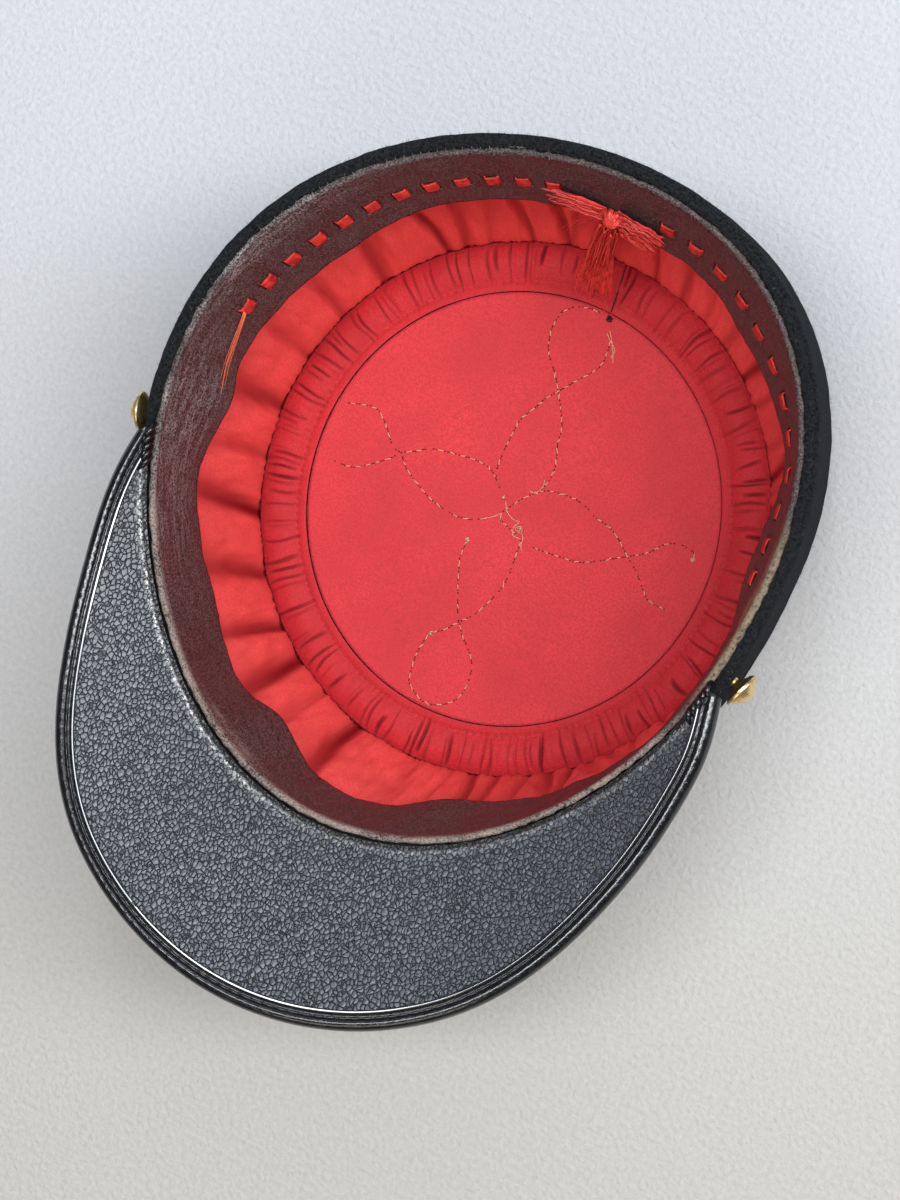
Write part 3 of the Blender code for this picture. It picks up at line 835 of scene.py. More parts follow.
def floor_paint():
    """Pale board with painted light: lighter and cooler toward the top of the picture, darker and
    warmer toward its foot.
    """
    paint = Paint("pale floor", (0.52, 0.54, 0.58), 0.9, Specular_IOR_Level=0.2)
    place = paint.where()
    crinkle = paint.noise(place, 620.0, detail=5.0, rough=0.62)
    pits = paint.ramp(paint.cells(place, 330.0), 0.0, 0.35)
    upward = paint.node("ShaderNodeVectorMath")
    upward.operation = "DOT_PRODUCT"
    paint.wire(place, upward.inputs[0])
    upward.inputs[1].default_value = (-0.435, 0.90, 0.0)
    # Painted light: the board grows lighter and cooler toward the top of the picture.
    high = paint.ramp(upward.outputs["Value"], -0.20, 0.16)
    dark = paint.blend(high, FLOOR_WARM_SHADE, FLOOR_COOL_LIGHT)
    pale = paint.blend(high, scaled(FLOOR_WARM_SHADE, 1.12), scaled(FLOOR_COOL_LIGHT, 1.12))
    paint.link(paint.blend(paint.ramp(crinkle, 0.35, 0.65), dark, pale), "Base Color")
    soft = paint.bump(pits, 0.0004, 0.35)
    paint.link(paint.bump(crinkle, 0.0009, 0.7, soft), "Normal")
    return paint.material


# Wool body

def felt(place, seed, depth=FELT_DEPTH):
    """Small lumps of felt on a wool face."""
    return depth * (noise.noise(place * 140.0 + Vector((seed, 0.0, 0.0)))
                    + 0.5 * noise.noise(place * 420.0))


def crown_tip_wool(surface):
    """Flat disc with a rounded lower edge. Its rows are given as (share of its width, height)."""
    inset = 2 * WELT_RADIUS + GAP
    profile = ((1.0, TIP_WALL), (1.0, 0.0006), (0.993, 0.0), (0.97, 0.0), (0.9, 0.0), (0.75, 0.0),
               (0.6, 0.0), (0.45, 0.0), (0.3, 0.0), (0.15, 0.0))
    sections = []
    for share, height in profile:
        section = []
        for angle in round_angles(144):
            place = crown_point(angle, inset, height)
            place.x *= share
            place.y *= share
            if height == 0.0:
                place.z += max(felt(place, 3.0, 0.00012), 0.0)
            section.append(place)
        sections.append(section)
    mesh = loft_mesh("crown_tip_wool", sections, closed=False)
    mesh.set_sharp_from_angle(angle=math.radians(40.0))
    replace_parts(add_piece("crown_tip_wool", mesh, surface), "crown_tip")


def crown_welt_wool(surface):
    sections = []
    sides = 14
    for angle in round_angles(300):
        section = []
        for side in range(sides):
            turn = TURN * side / sides
            reach = WELT_RADIUS * (1.0 + 0.05 * ring_noise(angle, 30.0, side * 0.4))
            inset = WELT_RADIUS - reach * math.cos(turn)
            height = WELT_LIFT + WELT_RADIUS + reach * math.sin(turn)
            section.append(crown_point(angle, inset, height))
        sections.append(section)
    mesh = loft_mesh("crown_welt_wool", sections, closed=True)
    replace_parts(add_piece("crown_welt_wool", mesh, surface), "crown_welt")


def crown_side_wool(surface):
    rows = []
    row_count = 26
    for row in range(row_count + 1):
        share = row / row_count
        line = []
        for angle in round_angles(420):
            start = BAND_HEIGHT + BAND_SEAM_GAP
            depth = start + (wall_height(angle) - start) * share
            place = wall_point(angle, depth, 0.0)
            sag = WALL_SAG * ring_noise(angle, 2.6, 5.0 + share)
            line.append(place + rim_outward(angle) * (felt(place, 1.0) + sag))
        rows.append(line)
    mesh = grid_mesh("crown_side_wool", rows, closed=True, inward=False)
    piece = thicken(add_piece("crown_side_wool", mesh, surface), SIDE_WALL)
    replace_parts(piece, "crown_side")


def roll_depth(seat, turn):
    """Depth of the rolled rim's face below the rim, at a turn from its outer to its inner foot."""
    return seat + FOLD_ROUND - 2.1 * FOLD_ROUND * math.sin(turn) ** RIM_ROLL_POWER


def base_band_wool(surface):
    """Wool band whose top edge is rolled over into a soft fold beside the sweatband."""
    sections = []
    inner_fold = FOLD_THICKNESS - GAP
    for angle in round_angles(480):
        seat = peak_seat(angle)
        outline = [(0.0, BAND_HEIGHT)]
        for step in range(1, 14):
            outline.append((0.0, BAND_HEIGHT + (seat + FOLD_ROUND - BAND_HEIGHT) * step / 14))
        roll_steps = 20
        for step in range(roll_steps + 1):
            turn = math.pi * step / roll_steps
            inset = inner_fold / 2 * (1.0 - math.cos(turn))
            outline.append((inset, roll_depth(seat, turn)))
        outline.append((inner_fold, seat + FOLD_HEIGHT * 0.5))
        outline.append((inner_fold, seat + FOLD_HEIGHT))
        outline.append((BAND_WALL, seat + FOLD_HEIGHT + FOLD_ROUND))
        outline.append((BAND_WALL, BAND_HEIGHT))
        outward = rim_outward(angle)
        section = []
        for inset, depth in outline:
            place = wall_point(angle, depth, inset)
            side = 1.0 - 2.0 * smooth_step(inset / inner_fold)
            lumps = felt(place, 1.0)
            place = place + outward * (lumps * side)
            if depth < seat + FOLD_ROUND:
                place.z += felt(place, 7.0)
                right = bell_round(angle, 125.0, 62.0)
                place.z -= RIM_GROOVE * right * bell(inset - RIM_GROOVE_INSET, RIM_GROOVE_SPREAD)
            section.append(place)
        sections.append(section)
    mesh = loft_mesh("base_band_wool", sections, closed=True)
    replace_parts(add_piece("base_band_wool", mesh, surface), "base_band")


def wool_hairs(surface):
    """Short fibres that stand off the rolled rim and the outer wall."""
    draw = random.Random(11)
    paths = []
    for _ in range(HAIR_COUNT):
        angle = draw.uniform(0.0, TURN)
        outward = rim_outward(angle)
        if draw.random() < 0.55:
            seat = peak_seat(angle)
            turn = math.pi * draw.random()
            inset = FOLD_THICKNESS / 2 * (1.0 - math.cos(turn))
            depth = roll_depth(seat, turn)
            normal = outward * math.cos(turn) + UP * math.sin(turn)
        else:
            depth = draw.uniform(0.002, wall_height(angle))
            inset = 0.0
            normal = outward
        root = wall_point(angle, depth, inset)
        drift = Vector((draw.gauss(0, 0.6), draw.gauss(0, 0.6), draw.gauss(0, 0.6)))
        tip = root + (normal + drift).normalized() * draw.uniform(0.4, 1.1) * MM
        middle = root.lerp(tip, 0.5) + drift * 0.1 * MM
        paths.append([(root, 0.03 * MM), (middle, 0.022 * MM), (tip, 0.008 * MM)])
    add_tubes("wool_hairs", paths, surface, sides=3)


# Peak

def peak_leather(surface):
    """Underside leather of the peak, with a raised edge beside the rim's seam."""
    columns = 300
    reaches = 66
    rows = []
    uvs = []
    marks = {"worn": [], "gap": []}
    for row in range(reaches + 1):
        share = 1.0 - row / reaches
        line = []
        uv_line = []
        for column in range(columns + 1):
            angle = PEAK_HALF_ANGLE * (2.0 * column / columns - 1.0)
            width = peak_width(angle)
            reach = PEAK_INNER_EDGE + (width - PEAK_INNER_EDGE) * share ** 1.3
            place = rim_point(angle) + reach * peak_slope(angle)
            inward_reach = reach - PEAK_INNER_EDGE
            shown = 1.0 - smooth_step((math.degrees(angle) + 22.0) / 26.0)
            ridge = bell(inward_reach - WORN_RIDGE, RIDGE_SPREAD) * (0.25 + 0.75 * shown)
            ragged = 0.75 + 0.6 * noise.noise(place * 620.0)
            lift = PEAK_WALL / 2 + RIDGE_HEIGHT * ridge * ragged
            lift += PEAK_WAVES * noise.noise(place * 26.0) * smooth_step(reach / 0.01)
            lift += PEAK_ROUGHNESS * noise.noise(place * 260.0)
            line.append(place + lift * peak_lift(angle))
            uv_line.append((angle * (RIM_HALF_WIDTH + reach), reach))
            marks["worn"].append(min(1.0, ridge * ragged))
            # Painted shade along the strip beside the rim's seam.
            marks["gap"].append(1.0 - smooth_step((inward_reach - 0.5 * WORN_RIDGE) / 0.0006))
        rows.append(line)
        uvs.append(uv_line)
    mesh = grid_mesh("peak_leather", rows, closed=False, inward=True,
                     uvs=lambda row, column: uvs[row][column], marks=marks)
    piece = thicken(add_piece("peak_leather", mesh, surface), PEAK_WALL)
    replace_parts(piece, "peak")


def binding_frame(angle):
    """Edge point of the peak there, with the directions out of it and up off it."""
    step = 0.004
    before = peak_edge(max(angle - step, -PEAK_HALF_ANGLE))
    after = peak_edge(min(angle + step, PEAK_HALF_ANGLE))
    lift = peak_lift(angle)
    outward = (after - before).cross(lift).normalized()
    return peak_edge(angle), outward, lift


def binding_leg(angle):
    return min(BINDING_WIDTH, 0.85 * (peak_width(angle) - PEAK_INNER_EDGE))


def binding_angles(columns):
    return [PEAK_HALF_ANGLE * (2.0 * column / columns - 1.0) for column in range(columns + 1)]


def binding_top(leg):
    """Upper side of the binding's section from its inner edge to its nose: bead, bands, groove."""
    outer = BINDING_OUTER
    nose = BINDING_NOSE
    size = leg / BINDING_WIDTH
    bead = 0.45 * MM * size
    groove = -STITCH_GROOVE_SHARE * leg
    half_groove = 0.35 * MM * size
    return [
        (-leg, outer - 0.55 * MM),
        (-leg + 0.1 * bead, outer - 0.35 * MM),
        (-leg + bead, outer - 0.25 * MM),
        (-leg + 1.9 * bead, outer - 0.28 * MM),
        (-leg + 2.2 * bead, outer - 0.26 * MM * size),
        (-leg + 2.8 * bead, outer + 0.02 * MM),
        ((groove - leg + 2.8 * bead) / 2, outer + 0.12 * MM * size),
        (groove - half_groove, outer + 0.05 * MM * size),
        (groove - half_groove * 0.5, outer - 0.20 * MM * size),
        (groove, outer - 0.28 * MM * size),
        (groove + half_groove * 0.5, outer - 0.20 * MM * size),
        (groove + half_groove, outer + 0.08 * MM * size),
        (groove / 2 + half_groove / 2, outer + 0.22 * MM * size),
        (0.0, outer + 0.10 * MM * size),
        (nose * 0.65, outer * 0.72),
        (nose, outer * 0.28),
    ]


def peak_binding_patent(surface):
    outer = BINDING_OUTER
    nose = BINDING_NOSE
    sections = []
    for angle in binding_angles(360):
        edge, outward, lift = binding_frame(angle)
        leg = binding_leg(angle)
        outline = binding_top(leg)
        outline += [
            (nose, -outer * 0.28), (nose * 0.65, -outer * 0.72), (0.0, -outer),
            (-leg * 0.5, -outer - 0.1 * MM), (-leg, -outer), (-leg, -BINDING_CAVITY),
            (GAP, -BINDING_CAVITY), (GAP, BINDING_CAVITY), (-leg, BINDING_CAVITY - 0.2 * MM),
        ]
        pucker = 0.05 * MM * math.sin(angle * 280.0)
        section = []
        for reach, rise in outline:
            ripple = pucker if rise > outer * 0.8 else 0.0
            section.append(edge + reach * outward + (rise + ripple) * lift)
        sections.append(section)
    mesh = loft_mesh("peak_binding_patent", sections, closed=False)
    mesh.set_sharp_from_angle(angle=math.radians(60.0))
    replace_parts(add_piece("peak_binding_patent", mesh, surface), "peak_binding")


def light_spots(spot, axis, half_steps):
    """Places along one of a light's axes, 0 for its width and 1 for its length."""
    place = picture_side(*spot)
    along = light_axes(place)[axis]
    return [place + LIGHT_STEP * step * along for step in range(-half_steps, half_steps + 1)]


def mirrored_spot(spots, centre, tangent, eye):
    """The spot of a light that a rod running that way can mirror to the eye."""
    toward_eye = (eye - centre).normalized()
    return min(spots, key=lambda spot: abs((toward_eye + (spot - centre).normalized()).dot(tangent)))


def flatten_bead(mesh, path):
    """Rubs the bead's top a little flat, so it faces midway between the eye and a light."""
    _, _, back = camera_axes()
    eye = CAMERA_TARGET + CAMERA_DISTANCE * back
    tube_spots = light_spots(TUBE_SPOT, 0, TUBE_HALF_STEPS)
    strip_spots = light_spots(STRIP_SPOT, 1, STRIP_HALF_STEPS)
    angles = binding_angles(len(path) - 1)
    facings = []
    for ring, (centre, _) in enumerate(path):
        tangent = path[min(ring + 1, len(path) - 1)][0] - path[max(ring - 1, 0)][0]
        at_left = math.degrees(angles[ring]) < STRIP_END_DEGREES
        spots = strip_spots if at_left else tube_spots
        lamp = mirrored_spot(spots, centre, tangent.normalized(), eye)
        facings.append(((eye - centre).normalized() + (lamp - centre).normalized()).normalized())
    for index, vertex in enumerate(mesh.vertices):
        ring = index // BEAD_SIDES
        centre, radius = path[ring]
        right = smooth_step((math.degrees(angles[ring]) - 5.0) / 25.0)
        limit = radius * (BEAD_FLAT_SHARE + (1.0 - BEAD_FLAT_SHARE) * right)
        high = (vertex.co - centre).dot(facings[ring])
        if high > limit:
            vertex.co -= facings[ring] * (high - limit)


def binding_bead(surface):
    """Polished cord along the inner edge of the binding, which catches the light in a line."""
    path = []
    for angle in binding_angles(BEAD_COLUMNS):
        edge, outward, lift = binding_frame(angle)
        leg = binding_leg(angle)
        radius = BEAD_RADIUS * max(leg / BINDING_WIDTH, 0.5)
        centre = edge + (radius - leg) * outward + (BINDING_OUTER - 0.12 * MM) * lift
        path.append((centre, radius))
    mesh = tubes_mesh("binding_bead", [path], sides=BEAD_SIDES)
    flatten_bead(mesh, path)
    add_piece("binding_bead", mesh, surface)


def binding_stitches(surface):
    """Row of stitches in the binding's groove."""
    draw = random.Random(5)
    paths = []
    for index in range(BINDING_STITCHES):
        share = (index + 0.5) / BINDING_STITCHES
        middle = PEAK_HALF_ANGLE * (2.0 * share - 1.0)
        half = PEAK_HALF_ANGLE / BINDING_STITCHES * 0.66
        ends = []
        for angle in (middle - half, middle + half):
            edge, outward, lift = binding_frame(angle)
            reach = draw.uniform(-0.06, 0.06) * MM - STITCH_GROOVE_SHARE * binding_leg(angle)
            ends.append(edge + reach * outward + (BINDING_OUTER - 0.24 * MM) * lift)
        _, _, lift = binding_frame(middle)
        paths.append(stitch_path(ends[0], ends[1], 0.18 * MM * lift, 0.17 * MM))
    add_tubes("binding_stitches", paths, surface)


def binding_curls(surface):
    """Twisted ends of the binding, at the peak's two corners."""
    draw = random.Random(13)
    paths = []
    for side in (-1, 1):
        corner = side * PEAK_HALF_ANGLE
        for wrap in range(5):
            shift = side * math.radians(1.3 * wrap - 1.6)
            path = []
            for step in range(15):
                share = step / 14
                turn = math.pi * (0.05 + 0.9 * share)
                angle = corner - shift - side * math.radians(2.6 * share)
                reach = 0.9 * MM + 3.4 * MM * share + draw.uniform(-0.1, 0.1) * MM
                rise = (0.4 + 2.3 * math.sin(turn)) * MM
                place = rim_point(angle) + reach * peak_slope(angle) + rise * peak_lift(angle)
                path.append((place, (0.45 + 0.35 * math.sin(turn)) * MM))
            paths.append(path)
    add_tubes("binding_curls", paths, surface, sides=10)


# Sweatband

def sweatband_columns():
    """Angles of the sweatband's fine columns, and which of them are slits."""
    spans = []
    for middle in sorted(dash_angles(-1) + dash_angles(1)):
        near = UNDER_DASH_ANGLE / 2
        far = near + 0.86 * SLIT_ANGLE
        near += 0.20 * SLIT_ANGLE
        spans.append((middle - far, 2, True))
        spans.append((middle - near, 4, False))
        spans.append((middle + near, 2, True))
        spans.append((middle + far, 0, False))
    columns = []
    for index, (start, count, slit) in enumerate(spans):
        end = spans[(index + 1) % len(spans)][0]
        if end < start:
            end += TURN
        if not count:
            count = max(4, round(math.degrees(end - start) / 0.62))
        for step in range(count):
            columns.append((start + (end - start) * step / count, slit))
    return columns


def leather_marks(angle, depth):
    """Marks of the leather, each from 0 to 1: grey dust; taupe along the top of the roll at the
    front, which is wear and partly a painted highlight, with a worn taupe patch below it; and a gold
    rim of wear.
    """
    degrees = math.degrees(angle) % 360.0
    front = math.degrees(abs(signed_angle(angle)))
    top = 1.0 - smooth_step((depth - 0.0002) / 0.0016)
    rear_left = bell_round(angle, 248.0, 24.0) * (1.0 - smooth_step((depth - 0.001) / 0.009))
    left = bell_round(angle, 285.0, 20.0) * (1.0 - smooth_step((depth - 0.018) / 0.018))
    grey = max(0.8 * rear_left, 0.75 * left)
    # Taupe on the roll's top at the front: wear, and partly a painted highlight along the roll.
    taupe_wear_and_highlight = top * (1.0 - smooth_step((front - 62.0) / 12.0))
    worn_front = 0.7 * bell_round(angle, -22.0, 9.0)
    taupe_wear_and_highlight = max(taupe_wear_and_highlight, worn_front * bell(depth - 0.0035, 0.0022))
    gold_place = 1.0 - smooth_step((abs(degrees - 89.0) - 10.0) / 12.0)
    gold = gold_place * (1.0 - smooth_step((depth - 0.0042) / 0.0018))
    return grey, taupe_wear_and_highlight * (1.0 - gold_place), gold


def sweatband_face(angle, depth):
    """Head-side face of the leather, with its soft dents and its rolled top edge."""
    waves = 0.0005 * ring_noise(angle, 9.0, 2.0 + depth * 30.0)
    waves += 0.00025 * ring_noise(angle, 34.0, 9.0 + depth * 60.0)
    off = SWEATBAND_WALL + waves * smooth_step(depth / 0.006)
    return sweatband_point(angle, depth, off)


def sweatband_leather(surface):
    """Leather sheet with a rolled top edge, slits for the ribbon, and marks of its wear and of a
    painted highlight on the roll.
    """
    columns = sweatband_columns()
    slit_end = SLIT_ROW_DEPTH + SLIT_LENGTH
    depths = [SLIT_ROW_DEPTH * step / 18 for step in range(18)]
    depths += [SLIT_ROW_DEPTH + SLIT_LENGTH * step / 4 for step in range(4)]
    depths += [slit_end + (SWEATBAND_DEPTH - slit_end) * step / 13 for step in range(14)]
    roll = [ROLL_TURN * (1.0 - step / ROLL_STEPS) for step in range(ROLL_STEPS)]
    rows = []
    uvs = []
    marks = {"grey": [], "taupe_wear_and_highlight": [], "gold": []}
    for turn in roll:
        line = []
        for angle, _ in columns:
            place = sweatband_face(angle, 0.0)
            outward = rim_outward(angle)
            thick = ROLL_RADIUS * (1.0 + 0.25 * ring_noise(angle, 40.0, 4.0))
            thick *= 1.0 + 0.25 * leather_marks(angle, 0.0)[2]
            shift = thick * (1.0 - math.cos(turn))
            line.append(place + outward * shift + rim_normal() * (thick * math.sin(turn)))
        rows.append(line)
        uvs.append([(angle * RIM_HALF_WIDTH, turn * ROLL_RADIUS) for angle, _ in columns])
    for depth in depths:
        rows.append([sweatband_face(angle, depth) for angle, _ in columns])
        uvs.append([(angle * RIM_HALF_WIDTH, -depth) for angle, _ in columns])
    slit_rows = range(len(roll) + 18, len(roll) + 22)
    holes = {(row, column) for row in slit_rows
             for column, (_, slit) in enumerate(columns) if slit}
    for row in range(len(rows)):
        depth = 0.0 if row < len(roll) else depths[row - len(roll)]
        for angle, _ in columns:
            for name, value in zip(marks, leather_marks(angle, depth)):
                marks[name].append(value)
    first = columns[0][0]

    def uv_at(row, column):
        if column == len(columns):
            return (first + TURN) * RIM_HALF_WIDTH, uvs[row][0][1]
        return uvs[row][column]

    mesh = grid_mesh("sweatband_leather", rows, closed=True, inward=True, holes=holes,
                     uvs=uv_at, marks=marks)
    piece = thicken(add_piece("sweatband_leather", mesh, surface),
                    LEATHER_WALL)
    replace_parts(piece, "sweatband")


def whip_stitches(name, start, end, surface, thickness, seed):
    """Slanted stitches that hold the sweatband's edge to the wool."""
    draw = random.Random(seed)
    paths = []
    slant = WHIP_PITCH * 0.55
    angle = start
    while angle < end:
        low = sweatband_face(angle, 0.0006)
        outward = rim_outward(angle + slant)
        high = rim_point(angle + slant, 0.0013 + draw.uniform(-0.25, 0.25) * MM)
        high += rim_normal() * (0.0006 - peak_seat(angle) * 0.4)
        lift = rim_normal() * draw.uniform(0.6, 0.9) * MM - outward * 0.0003
        paths.append(stitch_path(low, high, lift, thickness * draw.uniform(0.85, 1.15)))
        angle += WHIP_PITCH * draw.uniform(0.93, 1.07)
    add_tubes(name, paths, surface)


def torn_threads(surface):
    """Loose grey threads where the rear seam of the sweatband has opened."""
    draw = random.Random(27)
    paths = []
    for _ in range(16):
        angle = math.radians(draw.uniform(187.0, 199.0))
        sweep = math.radians(draw.uniform(-2.6, 2.6))
        out = draw.uniform(-0.2, 1.4) * MM
        points = []
        for step in range(5):
            share = step / 4
            place = rim_point(angle + sweep * share, out - draw.uniform(0.0, 1.6) * share * MM)
            points.append(place + rim_normal() * draw.uniform(0.8, 1.7) * MM)
        paths.append([(place, 0.07 * MM) for place in smooth_path(points, 4)])
    add_tubes("torn_threads", paths, surface)


# Ribbon

def ribbon_piece(name, side, node, surface):
    """Ribbon that passes over the leather at each dash and behind it between dashes."""
    draw = random.Random(21 + side)
    over = SWEATBAND_WALL + RIBBON_WALL / 2
    behind = SWEATBAND_WALL - LEATHER_WALL - RIBBON_WALL
    reach = UNDER_DASH_ANGLE / 2 + SLIT_ANGLE / 2
    path = []
    for middle in sorted(dash_angles(side)):
        bulge = draw.uniform(0.04, 0.12) * MM
        tilt = draw.uniform(0.05, 0.30) * MM
        ramp = SLIT_ANGLE * 0.32
        path.append((middle - reach - ramp, behind, 0.0))
        path.append((middle - reach, (over + behind) / 2, 0.0))
        steps = 10
        for step in range(steps + 1):
            share = step / steps
            angle = middle + (reach - ramp * 0.6) * (2.0 * share - 1.0)
            rise = over + bulge * math.sin(math.pi * share) ** 0.8
            path.append((angle, rise, tilt * (2.0 * share - 1.0)))
        path.append((middle + reach, (over + behind) / 2, 0.0))
        path.append((middle + reach + ramp, behind, 0.0))
    path.insert(0, (path[0][0] - RIBBON_END_ANGLE, behind, 0.0))
    path.append((path[-1][0] + RIBBON_END_ANGLE, behind, 0.0))
    top = SLIT_ROW_DEPTH + (SLIT_LENGTH - RIBBON_WIDTH) / 2
    rows = []
    cross_steps = 6
    for step in range(cross_steps + 1):
        share = step / cross_steps
        line = []
        for angle, off, tilt in path:
            crown = 0.03 * MM * math.sin(math.pi * share) if off > over * 0.9 else 0.0
            depth = top + RIBBON_WIDTH * share + tilt
            line.append(sweatband_point(angle, depth, off + RIBBON_WALL / 2 + crown))
        rows.append(line)
    mesh = grid_mesh(name, rows, closed=False, inward=True,
                     uvs=lambda row, column: (path[column][0] * RIM_HALF_WIDTH,
                                              RIBBON_WIDTH * row / cross_steps))
    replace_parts(thicken(add_piece(name, mesh, surface), RIBBON_WALL), node)


# Bow

# Fans of the bow's ribbon, as corners of (degrees round the cap, mm of depth): two at the
# knot, then the two at the end on the same sides
LEFT_ARM = ((177.5, 20.0), (177.5, 29.0), (189.6, 14.5), (189.2, 26.5))
RIGHT_ARM = ((175.0, 18.5), (175.5, 31.0), (163.6, 21.0), (167.5, 40.0))
FRINGE = ((178.5, 28.0), (174.5, 30.0), (185.5, 61.0), (177.5, 57.0))
TAIL = ((181.5, 46.0), (177.0, 46.0), (188.5, 70.0), (177.5, 75.0))
WISPS = ((179.5, 27.0), (179.5, 31.0), (190.5, 47.0), (188.5, 54.0))
KNOT_PLACE = (176.0, 25.0)
# Direction in radians and size of each wrap of the knot
KNOT_WRAPS = ((0.35, 1.25), (1.15, 1.05), (2.0, 1.15), (2.75, 0.95))
# Width and length of the bow's cloths when flat: left arm, right arm, tail, fringe
BOW_FLATS = ((0.0125, 0.020), (0.016, 0.020), (0.0125, 0.030), (0.0105, 0.038))


def fan_point(fan, along, across, off):
    """Place on one fan, at a share of its length from the knot and a share of its width."""
    near = [a + (b - a) * across for a, b in zip(fan[0], fan[1])]
    far = [a + (b - a) * across for a, b in zip(fan[2], fan[3])]
    degrees, depth = (a + (b - a) * along for a, b in zip(near, far))
    return bow_point(math.radians(degrees), depth * MM, off)


def fan_crumple(along, across, seed, height):
    """Height of the crumpled ribbon over the leather: folds that run along the fan."""
    ridge = 0.5 + 0.5 * math.sin(across * 19.0 + 2.5 * noise.noise(Vector((along * 2.0, seed, 0.0))))
    rough = noise.noise(Vector((along * 6.0, across * 9.0, seed)))
    return height * (0.25 + 0.75 * ridge) + 0.5 * MM * rough


def fan_cloth(name, fan, height, seed, flat, surface):
    """Crumpled sheet of one fan, with a ragged end."""
    steps = 34
    columns = 40
    rows = []
    for row in range(steps + 1):
        line = []
        for column in range(columns + 1):
            across = column / columns
            ragged = 0.90 + 0.16 * noise.noise(Vector((across * 14.0, seed, 1.0)))
            along = ragged * row / steps
            edge = 1.0 + 0.06 * noise.noise(Vector((along * 12.0, seed, 2.0)))
            side = 0.5 + (across - 0.5) * edge
            off = fan_crumple(along, across, seed, height) * min(1.0, 0.5 + along)
            line.append(fan_point(fan, along, side, off))
        rows.append(line)
    width, length = flat

    def uv_at(row, column):
        return width * column / columns, length * row / steps

    mesh = grid_mesh(name, rows, closed=False, inward=True, uvs=uv_at)
    return thicken(add_piece(name, mesh, surface), BOW_CLOTH_WALL)


def fan_threads(name, fan, count, height, radius, overshoot, seed, surface):
    """Loose threads of one fan, that run from the knot out past the ragged end."""
    draw = random.Random(seed)
    paths = []
    for index in range(count):
        across = (index + draw.uniform(0.1, 0.9)) / count
        reach = draw.uniform(0.72, 1.0 + overshoot)
        start = draw.uniform(0.0, 0.25)
        bend = draw.uniform(-0.05, 0.05)
        swell = draw.uniform(0.0, 6.0)
        steps = 14
        path = []
        for step in range(steps + 1):
            share = step / steps
            along = start + (reach - start) * share
            side = across + bend * share * share + 0.012 * math.sin(9.0 * share + swell)
            off = fan_crumple(min(along, 1.0), across, seed, height) + radius
            off += 0.25 * MM * math.sin(7.0 * share + swell) + 0.5 * MM * share * share
            twist = 1.0 + 0.28 * math.sin(44.0 * share + swell)
            size = radius * twist * (1.0 - 0.6 * share ** 4)
            path.append((fan_point(fan, along, side, off), size))
        paths.append(path)
    add_tubes(name, paths, surface)


def knot_point(aside, down, off):
    """Place over the knot, by degrees and millimetres from its middle and metres off the leather."""
    degrees, depth = KNOT_PLACE
    return bow_point(math.radians(degrees + aside), (depth + down) * MM, off)


def bow_knot(surface):
    """Thick wraps of ribbon over the knot, with loose strands across them."""
    draw = random.Random(31)
    paths = []
    for turn, size in KNOT_WRAPS:
        path = []
        steps = 16
        for step in range(steps + 1):
            share = 2.0 * step / steps - 1.0
            aside = share * 3.2 * math.cos(turn) / 1.55
            down = share * 3.4 * math.sin(turn)
            off = (2.4 * size * math.sqrt(max(1.0 - share * share, 0.0)) - 0.4) * MM
            place = knot_point(aside, down, off)
            rough = 1.0 + 0.22 * math.sin(11.0 * share + turn * 5.0)
            path.append((place, 0.95 * MM * rough * (1.0 - 0.35 * share * share)))
        paths.append(path)
    for _ in range(22):
        turn = draw.uniform(0.0, math.pi)
        path = []
        for step in range(9):
            share = 2.0 * step / 8 - 1.0
            aside = share * 3.0 * math.cos(turn) / 1.55 + draw.uniform(-0.2, 0.2)
            down = share * 3.3 * math.sin(turn) + draw.uniform(-0.3, 0.3)
            off = (3.7 * math.sqrt(max(1.0 - share * share, 0.0)) - 0.2) * MM
            path.append((knot_point(aside, down, off), 0.16 * MM))
        paths.append(path)
    add_tubes("bow_knot", paths, surface, sides=8)


def bow(cloth, thread):
    """The tied bow. Returns its four cloths in the order of BOW_FLATS."""
    left = fan_cloth("bow_left_arm", LEFT_ARM, 1.3 * MM, 2.0, BOW_FLATS[0], cloth)
    right = fan_cloth("bow_right_arm", RIGHT_ARM, 1.5 * MM, 5.0, BOW_FLATS[1], cloth)
    tail = fan_cloth("bow_tail", TAIL, 1.2 * MM, 8.0, BOW_FLATS[2], cloth)
    fringe = fan_cloth("bow_fringe", FRINGE, 1.6 * MM, 9.0, BOW_FLATS[3], cloth)
    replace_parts(tail, "ribbon_bow")
    bow_knot(thread)
    fan_threads("bow_left_threads", LEFT_ARM, 20, 1.5 * MM, 0.16 * MM, 0.10, 2, thread)
    fan_threads("bow_right_threads", RIGHT_ARM, 30, 1.7 * MM, 0.16 * MM, 0.08, 5, thread)
    fan_threads("bow_fringe_threads", FRINGE, 16, 2.4 * MM, 0.30 * MM, 0.16, 9, thread)
    fan_threads("bow_tail_threads", TAIL, 26, 1.4 * MM, 0.13 * MM, 0.12, 8, thread)
    fan_threads("bow_wisps", WISPS, 9, 0.6 * MM, 0.11 * MM, 0.10, 12, thread)
    return left, right, tail, fringe


